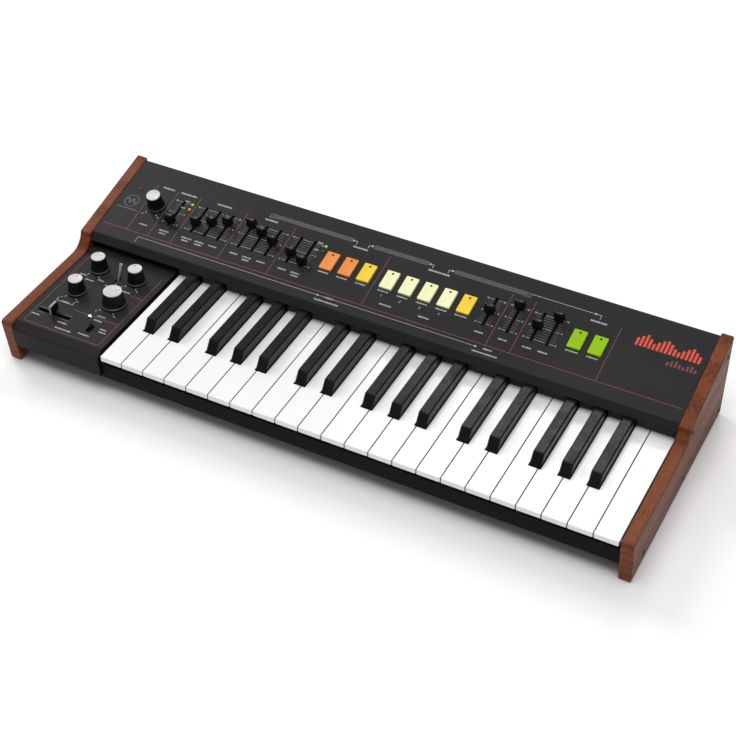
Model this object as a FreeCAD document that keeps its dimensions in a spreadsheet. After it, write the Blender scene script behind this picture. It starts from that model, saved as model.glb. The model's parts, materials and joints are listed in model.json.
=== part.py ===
import FreeCAD, Part
import os

import Sketcher

# A 37-key synthesizer: wooden end cheeks, a sloping top panel, a control pod left of the keys.
# The case frame has x to the player's right from the middle of the case, y to the back from the
# front edge of the white keys, and z up from the foot of the cheeks.
# The panel frame lies on the sloping top panel: x as above, y up the slope, z out of the panel.

DIMENSIONS = [
    # case
    ("case_half_width", 309.2, "middle of the case to the inner face of a cheek"),
    ("case_centre", 120.35, "white key fronts to the middle of the case's depth"),
    ("foot_drop", 2.0, "feet stand this far below the cheeks"),
    ("cheek_thickness", 12.1, "wooden end cheek"),
    ("cheek_front", 2.75, "cheek nose, in front of the white keys"),
    ("cheek_toe", 2.95, "foot of the cheek's front edge, behind the key fronts"),
    ("cheek_back", 242.95, "cheek tail, behind the white key fronts"),
    ("cheek_heel", 241.25, "foot of the cheek's rear edge"),
    ("cheek_nose", 48.9, "cheek's height at its nose"),
    ("cheek_nose_round", 4.0, "radius of the nose"),
    ("cheek_shelf", 49.3, "cheek's height beside the keys"),
    ("cheek_step", 129.4, "where the cheek's shelf turns up"),
    ("cheek_shoulder", 65.5, "cheek's height where its slope starts"),
    ("cheek_height", 90.6, "cheek's height at the back"),
    ("cheek_edge", 1.2, "softened edge of the wood"),
    ("cheek_cove", 18.0, "radius of the cove at the step"),
    ("case_floor", 5.0, "underside of the case"),
    ("case_rear", 240.6, "outer face of the rear wall"),
    ("rear_wall_top", 80.0, "top edge of the rear wall"),
    ("fascia_front", 3.2, "face of the front strip under the keys"),
    ("fascia_bottom", 16.8, "lower edge of that strip"),
    ("fascia_top", 33.0, "upper edge of that strip"),
    ("sheet_metal", 1.5, "wall of the folded metal parts"),
    ("slope_foot", 22.0, "where the case's front slope meets its floor"),
    ("flange_front", 8.0, "front edge of the flange at each cheek"),
    ("flange_low", 42.0, "top of the flange beside the keys"),
    ("flange_step", 136.9, "where that flange turns up behind the panel's lip"),
    ("flange_gap", 2.9, "flange's high corner below the panel frame's origin"),
    # sloping top panel
    ("panel_front", 134.2, "panel frame's origin behind the key fronts"),
    ("panel_height", 64.5, "panel frame's origin above the cheeks' foot"),
    ("panel_slope", 13.0, "slope in degrees"),
    ("panel_bend", 4.8, "front fold, up the slope"),
    ("panel_back", 111.0, "rear fold, up the slope"),
    ("panel_half_width", 308.9, "half of the panel's width"),
    ("front_lip_run", 1.75, "front lip's edge, down the slope from the panel frame's origin"),
    ("front_lip_drop", 6.7, "front lip's edge below the panel"),
    ("rear_lip_run", 2.75, "rear lip's edge, down the slope from the rear fold"),
    ("rear_lip_drop", 11.7, "rear lip's edge below the panel"),
    ("panel_fold", 2.4, "outer radius of the panel's folds"),
    ("hole_gap", 0.1, "gap round a bush or a light"),
    ("board_depth", 14.6, "underside of the panel's circuit board"),
    # keys
    ("keys_left", -209.35, "left end of the keyboard"),
    ("key_pitch", 23.5, "from one white key to the next"),
    ("key_gap", 0.9, "slit between white keys"),
    ("key_top", 45.2, "top of the white keys"),
    ("key_skin", 2.2, "thickness of a key's top"),
    ("key_lip", 5.3, "height of a white key's front lip"),
    ("key_lip_wall", 2.2, "thickness of that lip"),
    ("key_wall", 1.5, "side wall of a key"),
    ("key_base", 33.0, "lower edge of a white key's walls"),
    ("key_head", 49.1, "wide front part of a white key"),
    ("key_shank_end", 170.0, "where a key narrows to its tail"),
    ("key_reach", 192.0, "rear end of the keys"),
    ("tail_width", 9.0, "tail of a key at its pivot"),
    ("sharp_front", 50.0, "foot of a black key's nose"),
    ("sharp_nose", 7.6, "run of the nose's slope"),
    ("sharp_width", 10.6, "width of a black key"),
    ("sharp_top", 56.5, "top of the black keys"),
    ("sharp_base", 36.0, "underside of the black keys"),
    ("sharp_clear", 0.9, "gap beside a black key"),
    ("sharp_edge", 1.1, "bevel along a black key"),
    ("sharp_end", 142.0, "rear end of a black key's full height"),
    ("sharp_low", 52.0, "black key's height behind that, under the panel"),
    ("sharp_tail_top", 46.0, "top of a black key's tail"),
    ("pivot_back", 185.0, "key pivot behind the key fronts"),
    ("pivot_height", 40.0, "key pivot above the cheeks' foot"),
    ("pivot_radius", 2.0, "rod that every key turns on"),
    ("running_gap", 0.05, "radial clearance of a running fit"),
    # keybed
    ("tray_inset", 0.3, "tray's ends inside the keyboard's ends"),
    ("tray_front", 14.2, "front edge of the steel tray"),
    ("tray_back", 200.0, "rear edge of the steel tray"),
    ("tray_top", 14.6, "upper face of the steel tray"),
    ("tray_steel", 2.0, "thickness of the tray"),
    ("weld_depth", 0.5, "how far welded pieces run into each other"),
    ("stop_rail_back", 20.0, "rear face of the rail that stops the keys"),
    ("stop_rail_top", 28.0, "top of that rail"),
    ("stop_felt_top", 30.2, "top of the felt on that rail"),
    ("rear_rail_front", 178.0, "front face of the rail under the key tails"),
    ("rear_rail_back", 192.0, "rear face of that rail"),
    ("rear_rail_top", 31.0, "top of that rail"),
    ("rest_felt_top", 32.6, "top of the felt on the rear rail"),
    ("lug_top", 45.0, "top of the lugs that hold the key rod"),
    ("lug_width", 2.5, "thickness of a lug"),
    # controls on the panel
    ("volume_at", -265.3, "volume knob along the panel"),
    ("control_row", 57.2, "middle of the panel's controls, up the slope"),
    ("fader_pitch", 15.2, "from one fader to the next"),
    ("fader_travel", 30.0, "full travel of a fader"),
    ("fader_slot", 2.4, "width of a fader's slot"),
    ("slot_margin", 3.0, "slot's ends beyond the travel"),
    ("fader_width", 9.4, "width of a fader cap"),
    ("fader_foot", 6.6, "depth of a fader cap at its foot"),
    ("fader_crest", 3.8, "depth of a fader cap at its top"),
    ("fader_height", 11.0, "top of a fader cap above the panel"),
    ("fader_lift", 0.9, "gap under a fader cap"),
    ("saddle_depth", 0.9, "dip in the top of a fader cap"),
    ("stem_reach", 8.5, "fader stem below the panel"),
    ("stem_half", 0.6, "half of a fader stem's thickness"),
    ("stem_depth", 2.2, "half of a fader stem's depth"),
    ("button_row", 56.2, "middle of the buttons, up the slope"),
    ("button_pitch", 20.25, "from one button to the next"),
    ("button_width", 13.4, "width of a button cap"),
    ("button_depth", 22.0, "depth of a button cap"),
    ("button_rise", 1.9, "top of a button cap above the panel"),
    ("button_gap", 0.4, "gap round a button cap"),
    ("button_foot", 4.2, "underside of a button cap below the panel"),
    ("plunger_foot", 7.6, "lower end of a button's plunger"),
    ("plunger_radius", 1.7, "plunger under a button cap"),
    ("led_row", 72.0, "upper signal lights, up the slope"),
    ("led_pitch", 6.7, "from an upper light to the lower one"),
    ("led_radius", 1.5, "signal light"),
    # control pod
    ("pod_left", -308.9, "left edge of the pod's cover"),
    ("pod_right", -211.4, "right edge of the pod's cover"),
    ("pod_top", 48.0, "pod's control surface"),
    ("pod_bevel", 7.0, "front bevel's upper edge"),
    ("pod_brow", 42.5, "front bevel's lower edge"),
    ("pod_face", 2.0, "pod's face in front of the white keys"),
    ("pod_bottom", 19.9, "lower edge of the pod's face"),
    ("pod_rear", 150.0, "rear end of the pod's cover, under the panel"),
    ("pod_fold", 2.6, "outer radius of the pod's front folds"),
    ("notch_gap", 0.3, "gap round the front strip in the pod's side"),
    ("pod_column_left", -281.5, "left column of pod controls"),
    ("pod_column_right", -238.3, "right column of pod controls"),
    ("pod_row_rear", 107.0, "rear row of pod knobs"),
    ("pod_row_front", 67.8, "front row of pod knobs"),
    ("paddle_row", 29.8, "bend paddle"),
    ("paddle_pivot", 14.0, "height of the bend paddle's axle"),
    ("lever_at", -256.4, "silver lever along x"),
    ("lever_row", 99.1, "silver lever's axle"),
    ("lever_pivot", 42.0, "height of the silver lever's axle"),
    ("lever_run", 11.0, "how far the silver lever's tip leans back"),
    ("lever_rise", 20.0, "silver lever's tip above its axle"),
    ("toggle_row", 26.5, "toggle switch"),
    ("toggle_pivot", 41.5, "height of the toggle's axle"),
    ("toggle_run", 3.1, "how far the toggle's tip leans back"),
    ("toggle_rise", 10.6, "toggle's tip above its axle"),
    ("axle_radius", 1.5, "axles of the pod's levers"),
    ("hub_radius", 3.2, "hub of the silver lever and of the toggle"),
    # knobs
    ("shaft_radius", 3.0, "knob shaft"),
    ("bush_radius", 4.5, "bush round a knob shaft"),
    ("knob_height", 17.0, "top of a knob above its panel"),
    ("knob_lift", 0.6, "gap under a knob's skirt"),
    ("skirt_top", 2.6, "top of a knob's skirt above its panel"),
    ("flank_foot", 4.0, "foot of a knob's flank above its panel"),
    ("shaft_depth", 8.0, "knob shaft below its panel"),
    ("groove_half", 0.6, "half of the pointer groove's width"),
    ("groove_start", 2.5, "pointer groove's inner end"),
    ("groove_depth", 0.5, "depth of the pointer groove"),
    ("small_cap", 7.0, "small knob's light top"),
    ("small_body", 8.3, "small knob's body"),
    ("small_skirt", 9.7, "small knob's skirt"),
    ("large_cap", 9.2, "large knob's light top"),
    ("large_body", 10.8, "large knob's body"),
    ("large_skirt", 12.6, "large knob's skirt"),
    # fasteners, feet and sockets
    ("screw_head", 4.0, "radius of a cheek screw's head"),
    ("screw_radius", 1.9, "radius of a cheek screw's shank"),
    ("screw_length", 15.0, "cheek screw below its head"),
    ("head_sink", 1.4, "depth of a screw head's seat"),
    ("head_height", 1.8, "height of a screw's head"),
    ("hole_clear", 0.2, "radial clearance of a screw's hole"),
    ("foot_radius", 9.0, "rubber foot"),
    ("socket_row", 42.0, "height of the rear sockets"),
    ("wall_clear", 0.2, "gap between a socket and the rear wall"),
]

OCTAVE = "CDEFGAB"
WHITE_KEYS = 22
LOWEST_OCTAVE = 3
# How far each black key stands from the slit between its two white keys.
SHARP_OFFSETS = {"C": -2.1, "D": 2.1, "F": -3.5, "G": 0.2, "A": 3.6}

# Each fader section: where its first fader stands, and where its caps are set up the slope.
FADER_SECTIONS = [
    (-240.9, [45.0]),
    (-214.6, [51.0, 57.2, 63.0]),
    (-160.2, [69.6, 63.0, 57.2]),
    (-105.8, [51.0, 45.0]),
    (103.7, [57.2]),
    (127.9, [72.2]),
    (152.1, [57.2, 72.2]),
]
# Faders whose caps stand at about one height share a node.
FADER_SETS = {
    "fader_caps_low": (44.0, 52.0),
    "fader_caps_middle": (56.0, 58.0),
    "fader_caps_high": (62.0, 64.0),
    "fader_caps_top": (69.0, 73.0),
}
# Each button section: its first button, and how many stand in it.
BUTTON_SECTIONS = [(-65.9, 3), (-0.8, 5), (191.5, 2)]
METER_LEDS = [-230.9, -78.1]
POWER_LED = (-293.0, 71.9)
POD_LED = (-248.9, 41.9)
CHEEK_SCREWS = [(30.2, 10.5), (131.6, 9.0), (232.3, 9.0), (139.8, 58.2), (232.0, 74.2)]
FOOT_PLACES = [(x, y) for x in (-275.0, 275.0) for y in (42.0, 218.0)]
# Each kind of rear socket: its inner end, how far it stands out of the rear wall, its radius,
# its bore's radius and inner end, and the radius of its nut or flange.
SOCKET_KINDS = {
    "audio_jack": (220.0, 1.8, 4.7, 3.25, 222.0, 6.6),
    "midi_socket": (226.0, 0.8, 9.0, 7.0, 234.0, None),
    "power_socket": (226.0, 1.0, 4.7, 2.8, 230.0, None),
    "microphone_socket": (220.0, 1.6, 11.5, 9.2, 229.0, 14.0),
}
SOCKET_PLACES = [
    ("midi_socket", 8.0),
    ("midi_socket", 40.0),
    ("microphone_socket", 100.0),
    ("audio_jack", 150.0),
    ("audio_jack", 188.0),
    ("audio_jack", 214.0),
    ("audio_jack", 240.0),
    ("power_socket", 284.0),
]

doc = FreeCAD.newDocument("Synthesizer")
nodes = []


# ---------------------------------------------------------------- sizes bound to the sheet
class Dim:
    """A size that knows both its value and the sheet expression it comes from."""

    def __init__(self, value, text):
        self.value = value
        self.text = text

    def __add__(self, other):
        other = dim(other)
        return Dim(self.value + other.value, f"({self.text} + {other.text})")

    def __sub__(self, other):
        other = dim(other)
        return Dim(self.value - other.value, f"({self.text} - {other.text})")

    def __rsub__(self, other):
        return dim(other) - self

    def __mul__(self, other):
        other = dim(other)
        return Dim(self.value * other.value, f"({self.text} * {other.text})")

    def __truediv__(self, other):
        other = dim(other)
        return Dim(self.value / other.value, f"({self.text} / {other.text})")

    def __neg__(self):
        return Dim(-self.value, f"(0 - {self.text})")

    __radd__ = __add__
    __rmul__ = __mul__


def dim(size):
    if isinstance(size, Dim):
        return size
    return Dim(float(size), f"({float(size):.4f})")


class Sizes:
    """The driving dimensions, each held in an aliased cell of the spreadsheet."""

    def __init__(self):
        self.sheet = doc.addObject("Spreadsheet::Sheet", "Sizes")
        for row, (alias, value, meaning) in enumerate(DIMENSIONS, start=1):
            self.sheet.set(f"A{row}", alias)
            self.sheet.set(f"B{row}", str(value))
            self.sheet.setAlias(f"B{row}", alias)
            self.sheet.set(f"C{row}", meaning)
            setattr(self, alias, Dim(float(value), f"Sizes.{alias}"))
        doc.recompute()


def bind(thing, path, size):
    thing.setExpression(path, dim(size).text)


# ---------------------------------------------------------------- sketches and features
def new_body(name):
    return doc.addObject("PartDesign::Body", name)


def sketch_on(body, name, role, offset):
    """A sketch on one of the body's own origin planes, moved by an (x, y, normal) offset."""
    sketch = body.newObject("Sketcher::SketchObject", name)
    plane = next(item for item in body.Origin.OriginFeatures if item.Role == role)
    sketch.AttachmentSupport = [(plane, "")]
    sketch.MapMode = "FlatFace"
    for axis, size in zip("xyz", offset):
        bind(sketch, f".AttachmentOffset.Base.{axis}", size)
    return sketch


def pin_point(sketch, geometry, point, x, y):
    """Fix one point of a sketch at coordinates that are bound to the sheet."""
    for kind, size in (("DistanceX", dim(x)), ("DistanceY", dim(y))):
        index = sketch.addConstraint(
            Sketcher.Constraint(kind, -1, 1, geometry, point, size.value)
        )
        bind(sketch, f"Constraints[{index}]", size)


def draw_outline(sketch, points):
    """A closed polygon; a point that repeats the one before it is left out."""
    corners = []
    for x, y in points:
        corner = (dim(x), dim(y))
        if not corners or any(
            abs(new.value - old.value) > 1e-6 for new, old in zip(corner, corners[-1])
        ):
            corners.append(corner)
    first = sketch.GeometryCount
    count = len(corners)
    for start, end in zip(corners, corners[1:] + corners[:1]):
        line = Part.LineSegment(
            FreeCAD.Vector(start[0].value, start[1].value, 0),
            FreeCAD.Vector(end[0].value, end[1].value, 0),
        )
        sketch.addGeometry(line, False)
    for side in range(count):
        following = first + (side + 1) % count
        sketch.addConstraint(Sketcher.Constraint("Coincident", first + side, 2, following, 1))
    for side, (x, y) in enumerate(corners):
        pin_point(sketch, first + side, 1, x, y)


def draw_disc(sketch, x, y, radius):
    centre = FreeCAD.Vector(dim(x).value, dim(y).value, 0)
    disc = sketch.addGeometry(
        Part.Circle(centre, FreeCAD.Vector(0, 0, 1), dim(radius).value), False
    )
    index = sketch.addConstraint(Sketcher.Constraint("Radius", disc, dim(radius).value))
    bind(sketch, f"Constraints[{index}]", radius)
    pin_point(sketch, disc, 3, x, y)


def rectangle(low_x, high_x, low_y, high_y):
    return [(low_x, low_y), (high_x, low_y), (high_x, high_y), (low_x, high_y)]


def slot_about(x, y, half_x, half_y):
    return rectangle(x - half_x, x + half_x, y - half_y, y + half_y)


def extrude(body, name, role, low, high, outlines=(), discs=(), cut=False):
    """A pad, or a pocket, that runs from low to high along the plane's body axis."""
    middle = (dim(low) + high) / 2
    if role == "XZ_Plane":
        middle = -middle  # this plane's normal points along -Y
    sketch = sketch_on(body, f"{name}_sketch", role, (0, 0, middle))
    for points in outlines:
        draw_outline(sketch, points)
    for disc in discs:
        draw_disc(sketch, *disc)
    feature = body.newObject("PartDesign::Pocket" if cut else "PartDesign::Pad", name)
    feature.Profile = sketch
    feature.SideType = "Symmetric"
    bind(feature, "Length", dim(high) - low)
    return feature


def revolve(body, name, x, y, z, profile):
    """A body of revolution about the upright line through (x, y, z)."""
    sketch = sketch_on(body, f"{name}_sketch", "XZ_Plane", (x, z, -dim(y)))
    draw_outline(sketch, profile)
    feature = body.newObject("PartDesign::Revolution", name)
    feature.Profile = sketch
    feature.ReferenceAxis = (sketch, ["V_Axis"])
    feature.Angle = 360
    return feature


def edge_names(shape, wanted):
    return [f"Edge{i}" for i, edge in enumerate(shape.Edges, start=1) if wanted(edge)]


def fillet(body, name, base, radius, wanted):
    """Round the edges of the last feature that the test picks out."""
    doc.recompute()
    feature = body.newObject("PartDesign::Fillet", name)
    feature.Base = (base, edge_names(base.Shape, wanted))
    bind(feature, "Radius", radius)
    return feature


def chamfer(body, name, base, size, wanted):
    doc.recompute()
    feature = body.newObject("PartDesign::Chamfer", name)
    feature.Base = (base, edge_names(base.Shape, wanted))
    bind(feature, "Size", size)
    return feature


def hollow(body, name, base, wall, wanted):
    """Turn the last feature into a folded sheet that is open at the faces picked out."""
    doc.recompute()
    faces = [f"Face{i}" for i, face in enumerate(base.Shape.Faces, start=1) if wanted(face)]
    feature = body.newObject("PartDesign::Thickness", name)
    feature.Base = (base, faces)
    feature.Reversed = True
    feature.Join = "Intersection"
    bind(feature, "Value", wall)
    return feature


def along(edge, direction):
    """True for a straight edge that runs in this direction."""
    if edge.Curve.TypeId != "Part::GeomLine":
        return False
    return abs(abs(edge.Curve.Direction.dot(direction)) - 1) < 1e-6


def near(value, size):
    return abs(value - dim(size).value) < 0.01


# ---------------------------------------------------------------- primitives
def box(name, low_x, high_x, low_y, high_y, low_z, high_z):
    block = doc.addObject("Part::Box", name)
    bind(block, "Length", dim(high_x) - low_x)
    bind(block, "Width", dim(high_y) - low_y)
    bind(block, "Height", dim(high_z) - low_z)
    for axis, size in zip("xyz", (low_x, low_y, low_z)):
        bind(block, f".Placement.Base.{axis}", size)
    return block


def rod(name, axis, start, radius, length):
    """A cylinder from a start point along +X, +Y or +Z."""
    cylinder = doc.addObject("Part::Cylinder", name)
    turn = {
        "x": FreeCAD.Rotation(FreeCAD.Vector(0, 1, 0), 90),
        "y": FreeCAD.Rotation(FreeCAD.Vector(1, 0, 0), -90),
        "z": FreeCAD.Rotation(),
    }[axis]
    cylinder.Placement = FreeCAD.Placement(FreeCAD.Vector(0, 0, 0), turn)
    bind(cylinder, "Radius", radius)
    bind(cylinder, "Height", length)
    for letter, size in zip("xyz", start):
        bind(cylinder, f".Placement.Base.{letter}", size)
    return cylinder


def fuse(name, pieces):
    union = doc.addObject("Part::MultiFuse", name)
    union.Shapes = pieces
    return union


def cut(name, base, tool):
    difference = doc.addObject("Part::Cut", name)
    difference.Base = base
    difference.Tool = tool
    return difference


def group(name, pieces):
    """Separate solids kept together, unfused."""
    compound = doc.addObject("Part::Compound", name)
    compound.Links = pieces
    return compound


# ---------------------------------------------------------------- finished nodes
def place_in_case(thing, shift_x=0):
    bind(thing, ".Placement.Base.x", shift_x)
    bind(thing, ".Placement.Base.y", -size.case_centre)
    bind(thing, ".Placement.Base.z", size.foot_drop)


def place_on_panel(thing):
    thing.Placement = FreeCAD.Placement(
        FreeCAD.Vector(0, 0, 0), FreeCAD.Rotation(FreeCAD.Vector(1, 0, 0), size.panel_slope.value)
    )
    bind(thing, ".Placement.Rotation.Angle", size.panel_slope)
    bind(thing, ".Placement.Base.y", size.panel_front - size.case_centre)
    bind(thing, ".Placement.Base.z", size.panel_height + size.foot_drop)


def finish_in_case(thing, label, shift_x=0):
    place_in_case(thing, shift_x)
    thing.Label = label
    nodes.append(thing)


def finish_on_panel(thing, label):
    place_on_panel(thing)
    thing.Label = label
    nodes.append(thing)


# ---------------------------------------------------------------- wooden cheeks
def cheek(label, inner, outer):
    """An end cheek, stepped down beside the keys; inner and outer are its two faces in x."""
    body = new_body(label)
    low, high = (inner, outer) if inner.value < outer.value else (outer, inner)
    side = [
        (size.cheek_toe, 0),
        (-size.cheek_front, size.cheek_nose),
        (size.cheek_step, size.cheek_shelf),
        (size.panel_front, size.cheek_shoulder),
        (size.cheek_back, size.cheek_height),
        (size.cheek_heel, 0),
    ]
    blank = extrude(body, f"{label}_blank", "YZ_Plane", low, high, [side])
    across = FreeCAD.Vector(1, 0, 0)

    def crossing(y, z):
        """Edges across the wood near one corner of its side view."""

        def wanted(edge):
            point = edge.Vertexes[0].Point
            close = abs(point.y - dim(y).value) < 0.5 and abs(point.z - dim(z).value) < 0.5
            return along(edge, across) and close

        return wanted

    cove = fillet(
        body, f"{label}_cove", blank, size.cheek_cove, crossing(size.cheek_step, size.cheek_shelf)
    )
    nose_edge = crossing(-size.cheek_front, size.cheek_nose)
    fillet(body, f"{label}_nose", cove, size.cheek_nose_round, nose_edge)
    holes = [(y, z, size.screw_radius + size.hole_clear) for y, z in CHEEK_SCREWS]
    seats = [(y, z, size.screw_head + size.hole_clear) for y, z in CHEEK_SCREWS]
    extrude(body, f"{label}_holes", "YZ_Plane", low - 1, high + 1, discs=holes, cut=True)
    toward = 1 if outer.value > inner.value else -1
    seat_floor = outer - toward * size.head_sink
    seat_mouth = outer + toward * 1.0
    seat_low, seat_high = sorted((seat_floor, seat_mouth), key=lambda item: item.value)
    extrude(body, f"{label}_seats", "YZ_Plane", seat_low, seat_high, discs=seats, cut=True)
    doc.recompute()

    def rim(edge):
        """The outline of either face, without the screw seats."""
        box_of_edge = edge.BoundBox
        flat = box_of_edge.XLength < 1e-6
        at_face = near(box_of_edge.XMin, inner) or near(box_of_edge.XMin, outer)
        return flat and at_face and edge.Curve.TypeId != "Part::GeomCircle"

    fillet(body, f"{label}_edges", body.Tip, size.cheek_edge, rim)
    finish_in_case(body, label)


# ---------------------------------------------------------------- folded metal
def bottom_case():
    """Floor, front strip and rear wall in one folded sheet, with a flange at each cheek."""
    wall = size.sheet_metal
    body = new_body("bottom_case")
    floor, inside = size.case_floor, size.case_floor + wall
    section = [
        (size.fascia_front, size.fascia_top),
        (size.fascia_front, size.fascia_bottom),
        (size.slope_foot, floor),
        (size.case_rear, floor),
        (size.case_rear, size.rear_wall_top),
        (size.case_rear - wall, size.rear_wall_top),
        (size.case_rear - wall, inside),
        (size.slope_foot + 0.5, inside),
        (size.fascia_front + wall, size.fascia_bottom + 0.9),
        (size.fascia_front + wall, size.fascia_top),
    ]
    half = size.case_half_width - 0.1
    extrude(body, "case_sheet", "YZ_Plane", -half, half, [section])
    sunk = inside - size.weld_depth
    crest = size.panel_height - size.flange_gap
    flange = [
        (size.flange_front, size.fascia_bottom - 1.0),
        (size.slope_foot, sunk),
        (size.case_rear - size.weld_depth, sunk),
        (size.case_rear - size.weld_depth, size.rear_wall_top),
        (size.flange_step + 2.6, crest),
        (size.flange_step, crest - 4.6),
        (size.flange_step, size.flange_low),
        (size.flange_front, size.flange_low),
    ]
    extrude(body, "left_flange", "YZ_Plane", -half, wall - half, [flange])
    extrude(body, "right_flange", "YZ_Plane", half - wall, half, [flange])
    screws = [(y, z, size.screw_radius + size.hole_clear) for y, z in CHEEK_SCREWS]
    extrude(body, "flange_holes", "YZ_Plane", -half - 1, half + 1, discs=screws, cut=True)
    holes = []
    for kind, x in SOCKET_PLACES:
        radius = SOCKET_KINDS[kind][2]
        holes.append((x, size.socket_row, size.wall_clear + radius))
    through_wall = (size.case_rear - wall - 2, size.case_rear + 2)
    extrude(body, "socket_holes", "XZ_Plane", *through_wall, discs=holes, cut=True)
    finish_in_case(body, "bottom_case")


def fader_positions():
    """Every fader as (place along the panel, place of its cap up the slope)."""
    for start, settings in FADER_SECTIONS:
        for number, setting in enumerate(settings):
            yield start + size.fader_pitch * number, dim(setting)


def button_positions():
    for start, count in BUTTON_SECTIONS:
        for number in range(count):
            yield start + size.button_pitch * number


def panel_lights():
    """Every light on the panel as (along, up the slope)."""
    for along_panel in METER_LEDS:
        yield along_panel, size.led_row
        yield along_panel, size.led_row - size.led_pitch
    yield POWER_LED


def top_panel():
    """Folded panel: a steep front lip, the slope with its openings, and a rear lip."""
    body = new_body("top_panel")
    profile = [
        (-size.front_lip_run, -size.front_lip_drop),
        (size.panel_bend, 0),
        (size.panel_back, 0),
        (size.panel_back - size.rear_lip_run, -size.rear_lip_drop),
    ]
    half = size.panel_half_width
    block = extrude(body, "panel_block", "YZ_Plane", -half, half, [profile])
    across = FreeCAD.Vector(1, 0, 0)

    def fold(edge):
        return along(edge, across) and near(edge.Vertexes[0].Point.z, 0)

    bent = fillet(body, "panel_folds", block, size.panel_fold, fold)

    def open_side(face):
        centre = face.CenterOfMass
        end = near(abs(centre.x), half) and abs(face.normalAt(0, 0).x) > 0.9
        return end or (face.Surface.TypeId == "Part::GeomPlane" and centre.z < -9)

    hollow(body, "panel_sheet", bent, size.sheet_metal, open_side)
    slots = []
    for u, _ in fader_positions():
        half_slot = size.fader_travel / 2 + size.slot_margin
        slots.append(
            rectangle(
                u - size.fader_slot / 2,
                u + size.fader_slot / 2,
                size.control_row - half_slot,
                size.control_row + half_slot,
            )
        )
    for u in button_positions():
        half_u = size.button_width / 2 + size.button_gap
        half_v = size.button_depth / 2 + size.button_gap
        slots.append(
            rectangle(u - half_u, u + half_u, size.button_row - half_v, size.button_row + half_v)
        )
    holes = [(u, v, size.led_radius + size.hole_gap) for u, v in panel_lights()]
    holes.append((size.volume_at, size.control_row, size.bush_radius + size.hole_gap))
    extrude(body, "panel_openings", "XY_Plane", -4, 4, slots, holes, cut=True)
    finish_on_panel(body, "top_panel")


def pod_panel():
    """Cover of the control pod, with brackets for the two axles below it."""
    body = new_body("pod_cover")
    profile = [
        (-0.2, size.pod_bottom),
        (-size.pod_face, size.pod_brow),
        (size.pod_bevel, size.pod_top),
        (size.pod_rear, size.pod_top),
        (size.pod_rear, size.pod_bottom),
    ]
    block = extrude(body, "pod_block", "YZ_Plane", size.pod_left, size.pod_right, [profile])
    across = FreeCAD.Vector(1, 0, 0)

    def brow(edge):
        point = edge.Vertexes[0].Point
        return along(edge, across) and point.y < 20 and point.z > size.pod_brow.value - 1

    bent = fillet(body, "pod_folds", block, size.pod_fold, brow)

    def open_side(face):
        centre = face.CenterOfMass
        under = near(centre.z, size.pod_bottom)
        behind = near(centre.y, size.pod_rear)
        left = near(centre.x, size.pod_left)
        return under or behind or left

    hollow(body, "pod_sheet", bent, size.sheet_metal, open_side)
    column, row = size.pod_column_left, size.paddle_row
    at, lever = size.lever_at, size.lever_row
    toggle_x, toggle_y = size.pod_column_right, size.toggle_row
    slots = [
        slot_about(column, row, 18.0, 1.7),
        slot_about(at, lever, 2.1, 6.2),
        slot_about(toggle_x, toggle_y, 2.6, 5.2),
    ]
    holes = [(x, y, size.bush_radius + size.hole_gap) for x, y in pod_knob_places()]
    holes.append((*POD_LED, size.led_radius + size.hole_gap))
    through = (size.pod_top - 4, size.pod_top + 4)
    extrude(body, "pod_openings", "XY_Plane", *through, slots, holes, cut=True)
    fascia = rectangle(
        size.fascia_front - size.notch_gap,
        size.fascia_front + size.sheet_metal + size.notch_gap,
        size.pod_bottom - 1,
        size.fascia_top + size.notch_gap,
    )
    side_wall = (size.pod_right - size.sheet_metal - 1, size.pod_right + 1)
    extrude(body, "pod_fascia_notch", "YZ_Plane", *side_wall, [fascia], cut=True)
    flange = rectangle(
        size.pod_left - 1,
        size.pod_left + size.sheet_metal + size.hole_gap,
        size.flange_step - 0.4,
        size.pod_rear + 1,
    )
    extrude(body, "pod_flange_notch", "XY_Plane", *through, [flange], cut=True)
    underside = size.pod_top - size.sheet_metal
    brackets = [
        axle_bracket("paddle", "y", column, row, size.paddle_pivot, 3.4, underside),
        axle_bracket("lever", "x", at, lever, size.lever_pivot, 2.2, underside),
        axle_bracket("toggle", "x", toggle_x, toggle_y, size.toggle_pivot, 3.4, underside),
    ]
    finish_in_case(group("pod_panel", [body] + brackets), "pod_panel")


def pod_knob_places():
    """Three small knobs, then the large one."""
    return [
        (size.pod_column_left, size.pod_row_rear),
        (size.pod_column_right, size.pod_row_rear),
        (size.pod_column_left, size.pod_row_front),
        (size.pod_column_right, size.pod_row_front),
    ]


def axle_bracket(name, axis, x, y, pivot, gap, underside):
    """Two ears under the pod's cover with an axle between them; gap is half their distance."""
    ear, reach = 1.4, 4.5
    foot = pivot - reach
    x, y = dim(x), dim(y)
    pieces = []
    for side in (-1, 1):
        near_face, far_face = sorted((side * gap, side * (gap + ear)))
        if axis == "x":
            span = (x + near_face, x + far_face, y - reach, y + reach)
        else:
            span = (x - reach, x + reach, y + near_face, y + far_face)
        pieces.append(box(f"{name}_ear", *span, foot, underside))
    length = 2 * (gap + ear)
    start = (x - length / 2, y, pivot) if axis == "x" else (x, y - length / 2, pivot)
    pieces.append(rod(f"{name}_axle", axis, start, size.axle_radius, length))
    return fuse(f"{name}_bracket", pieces)


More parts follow.
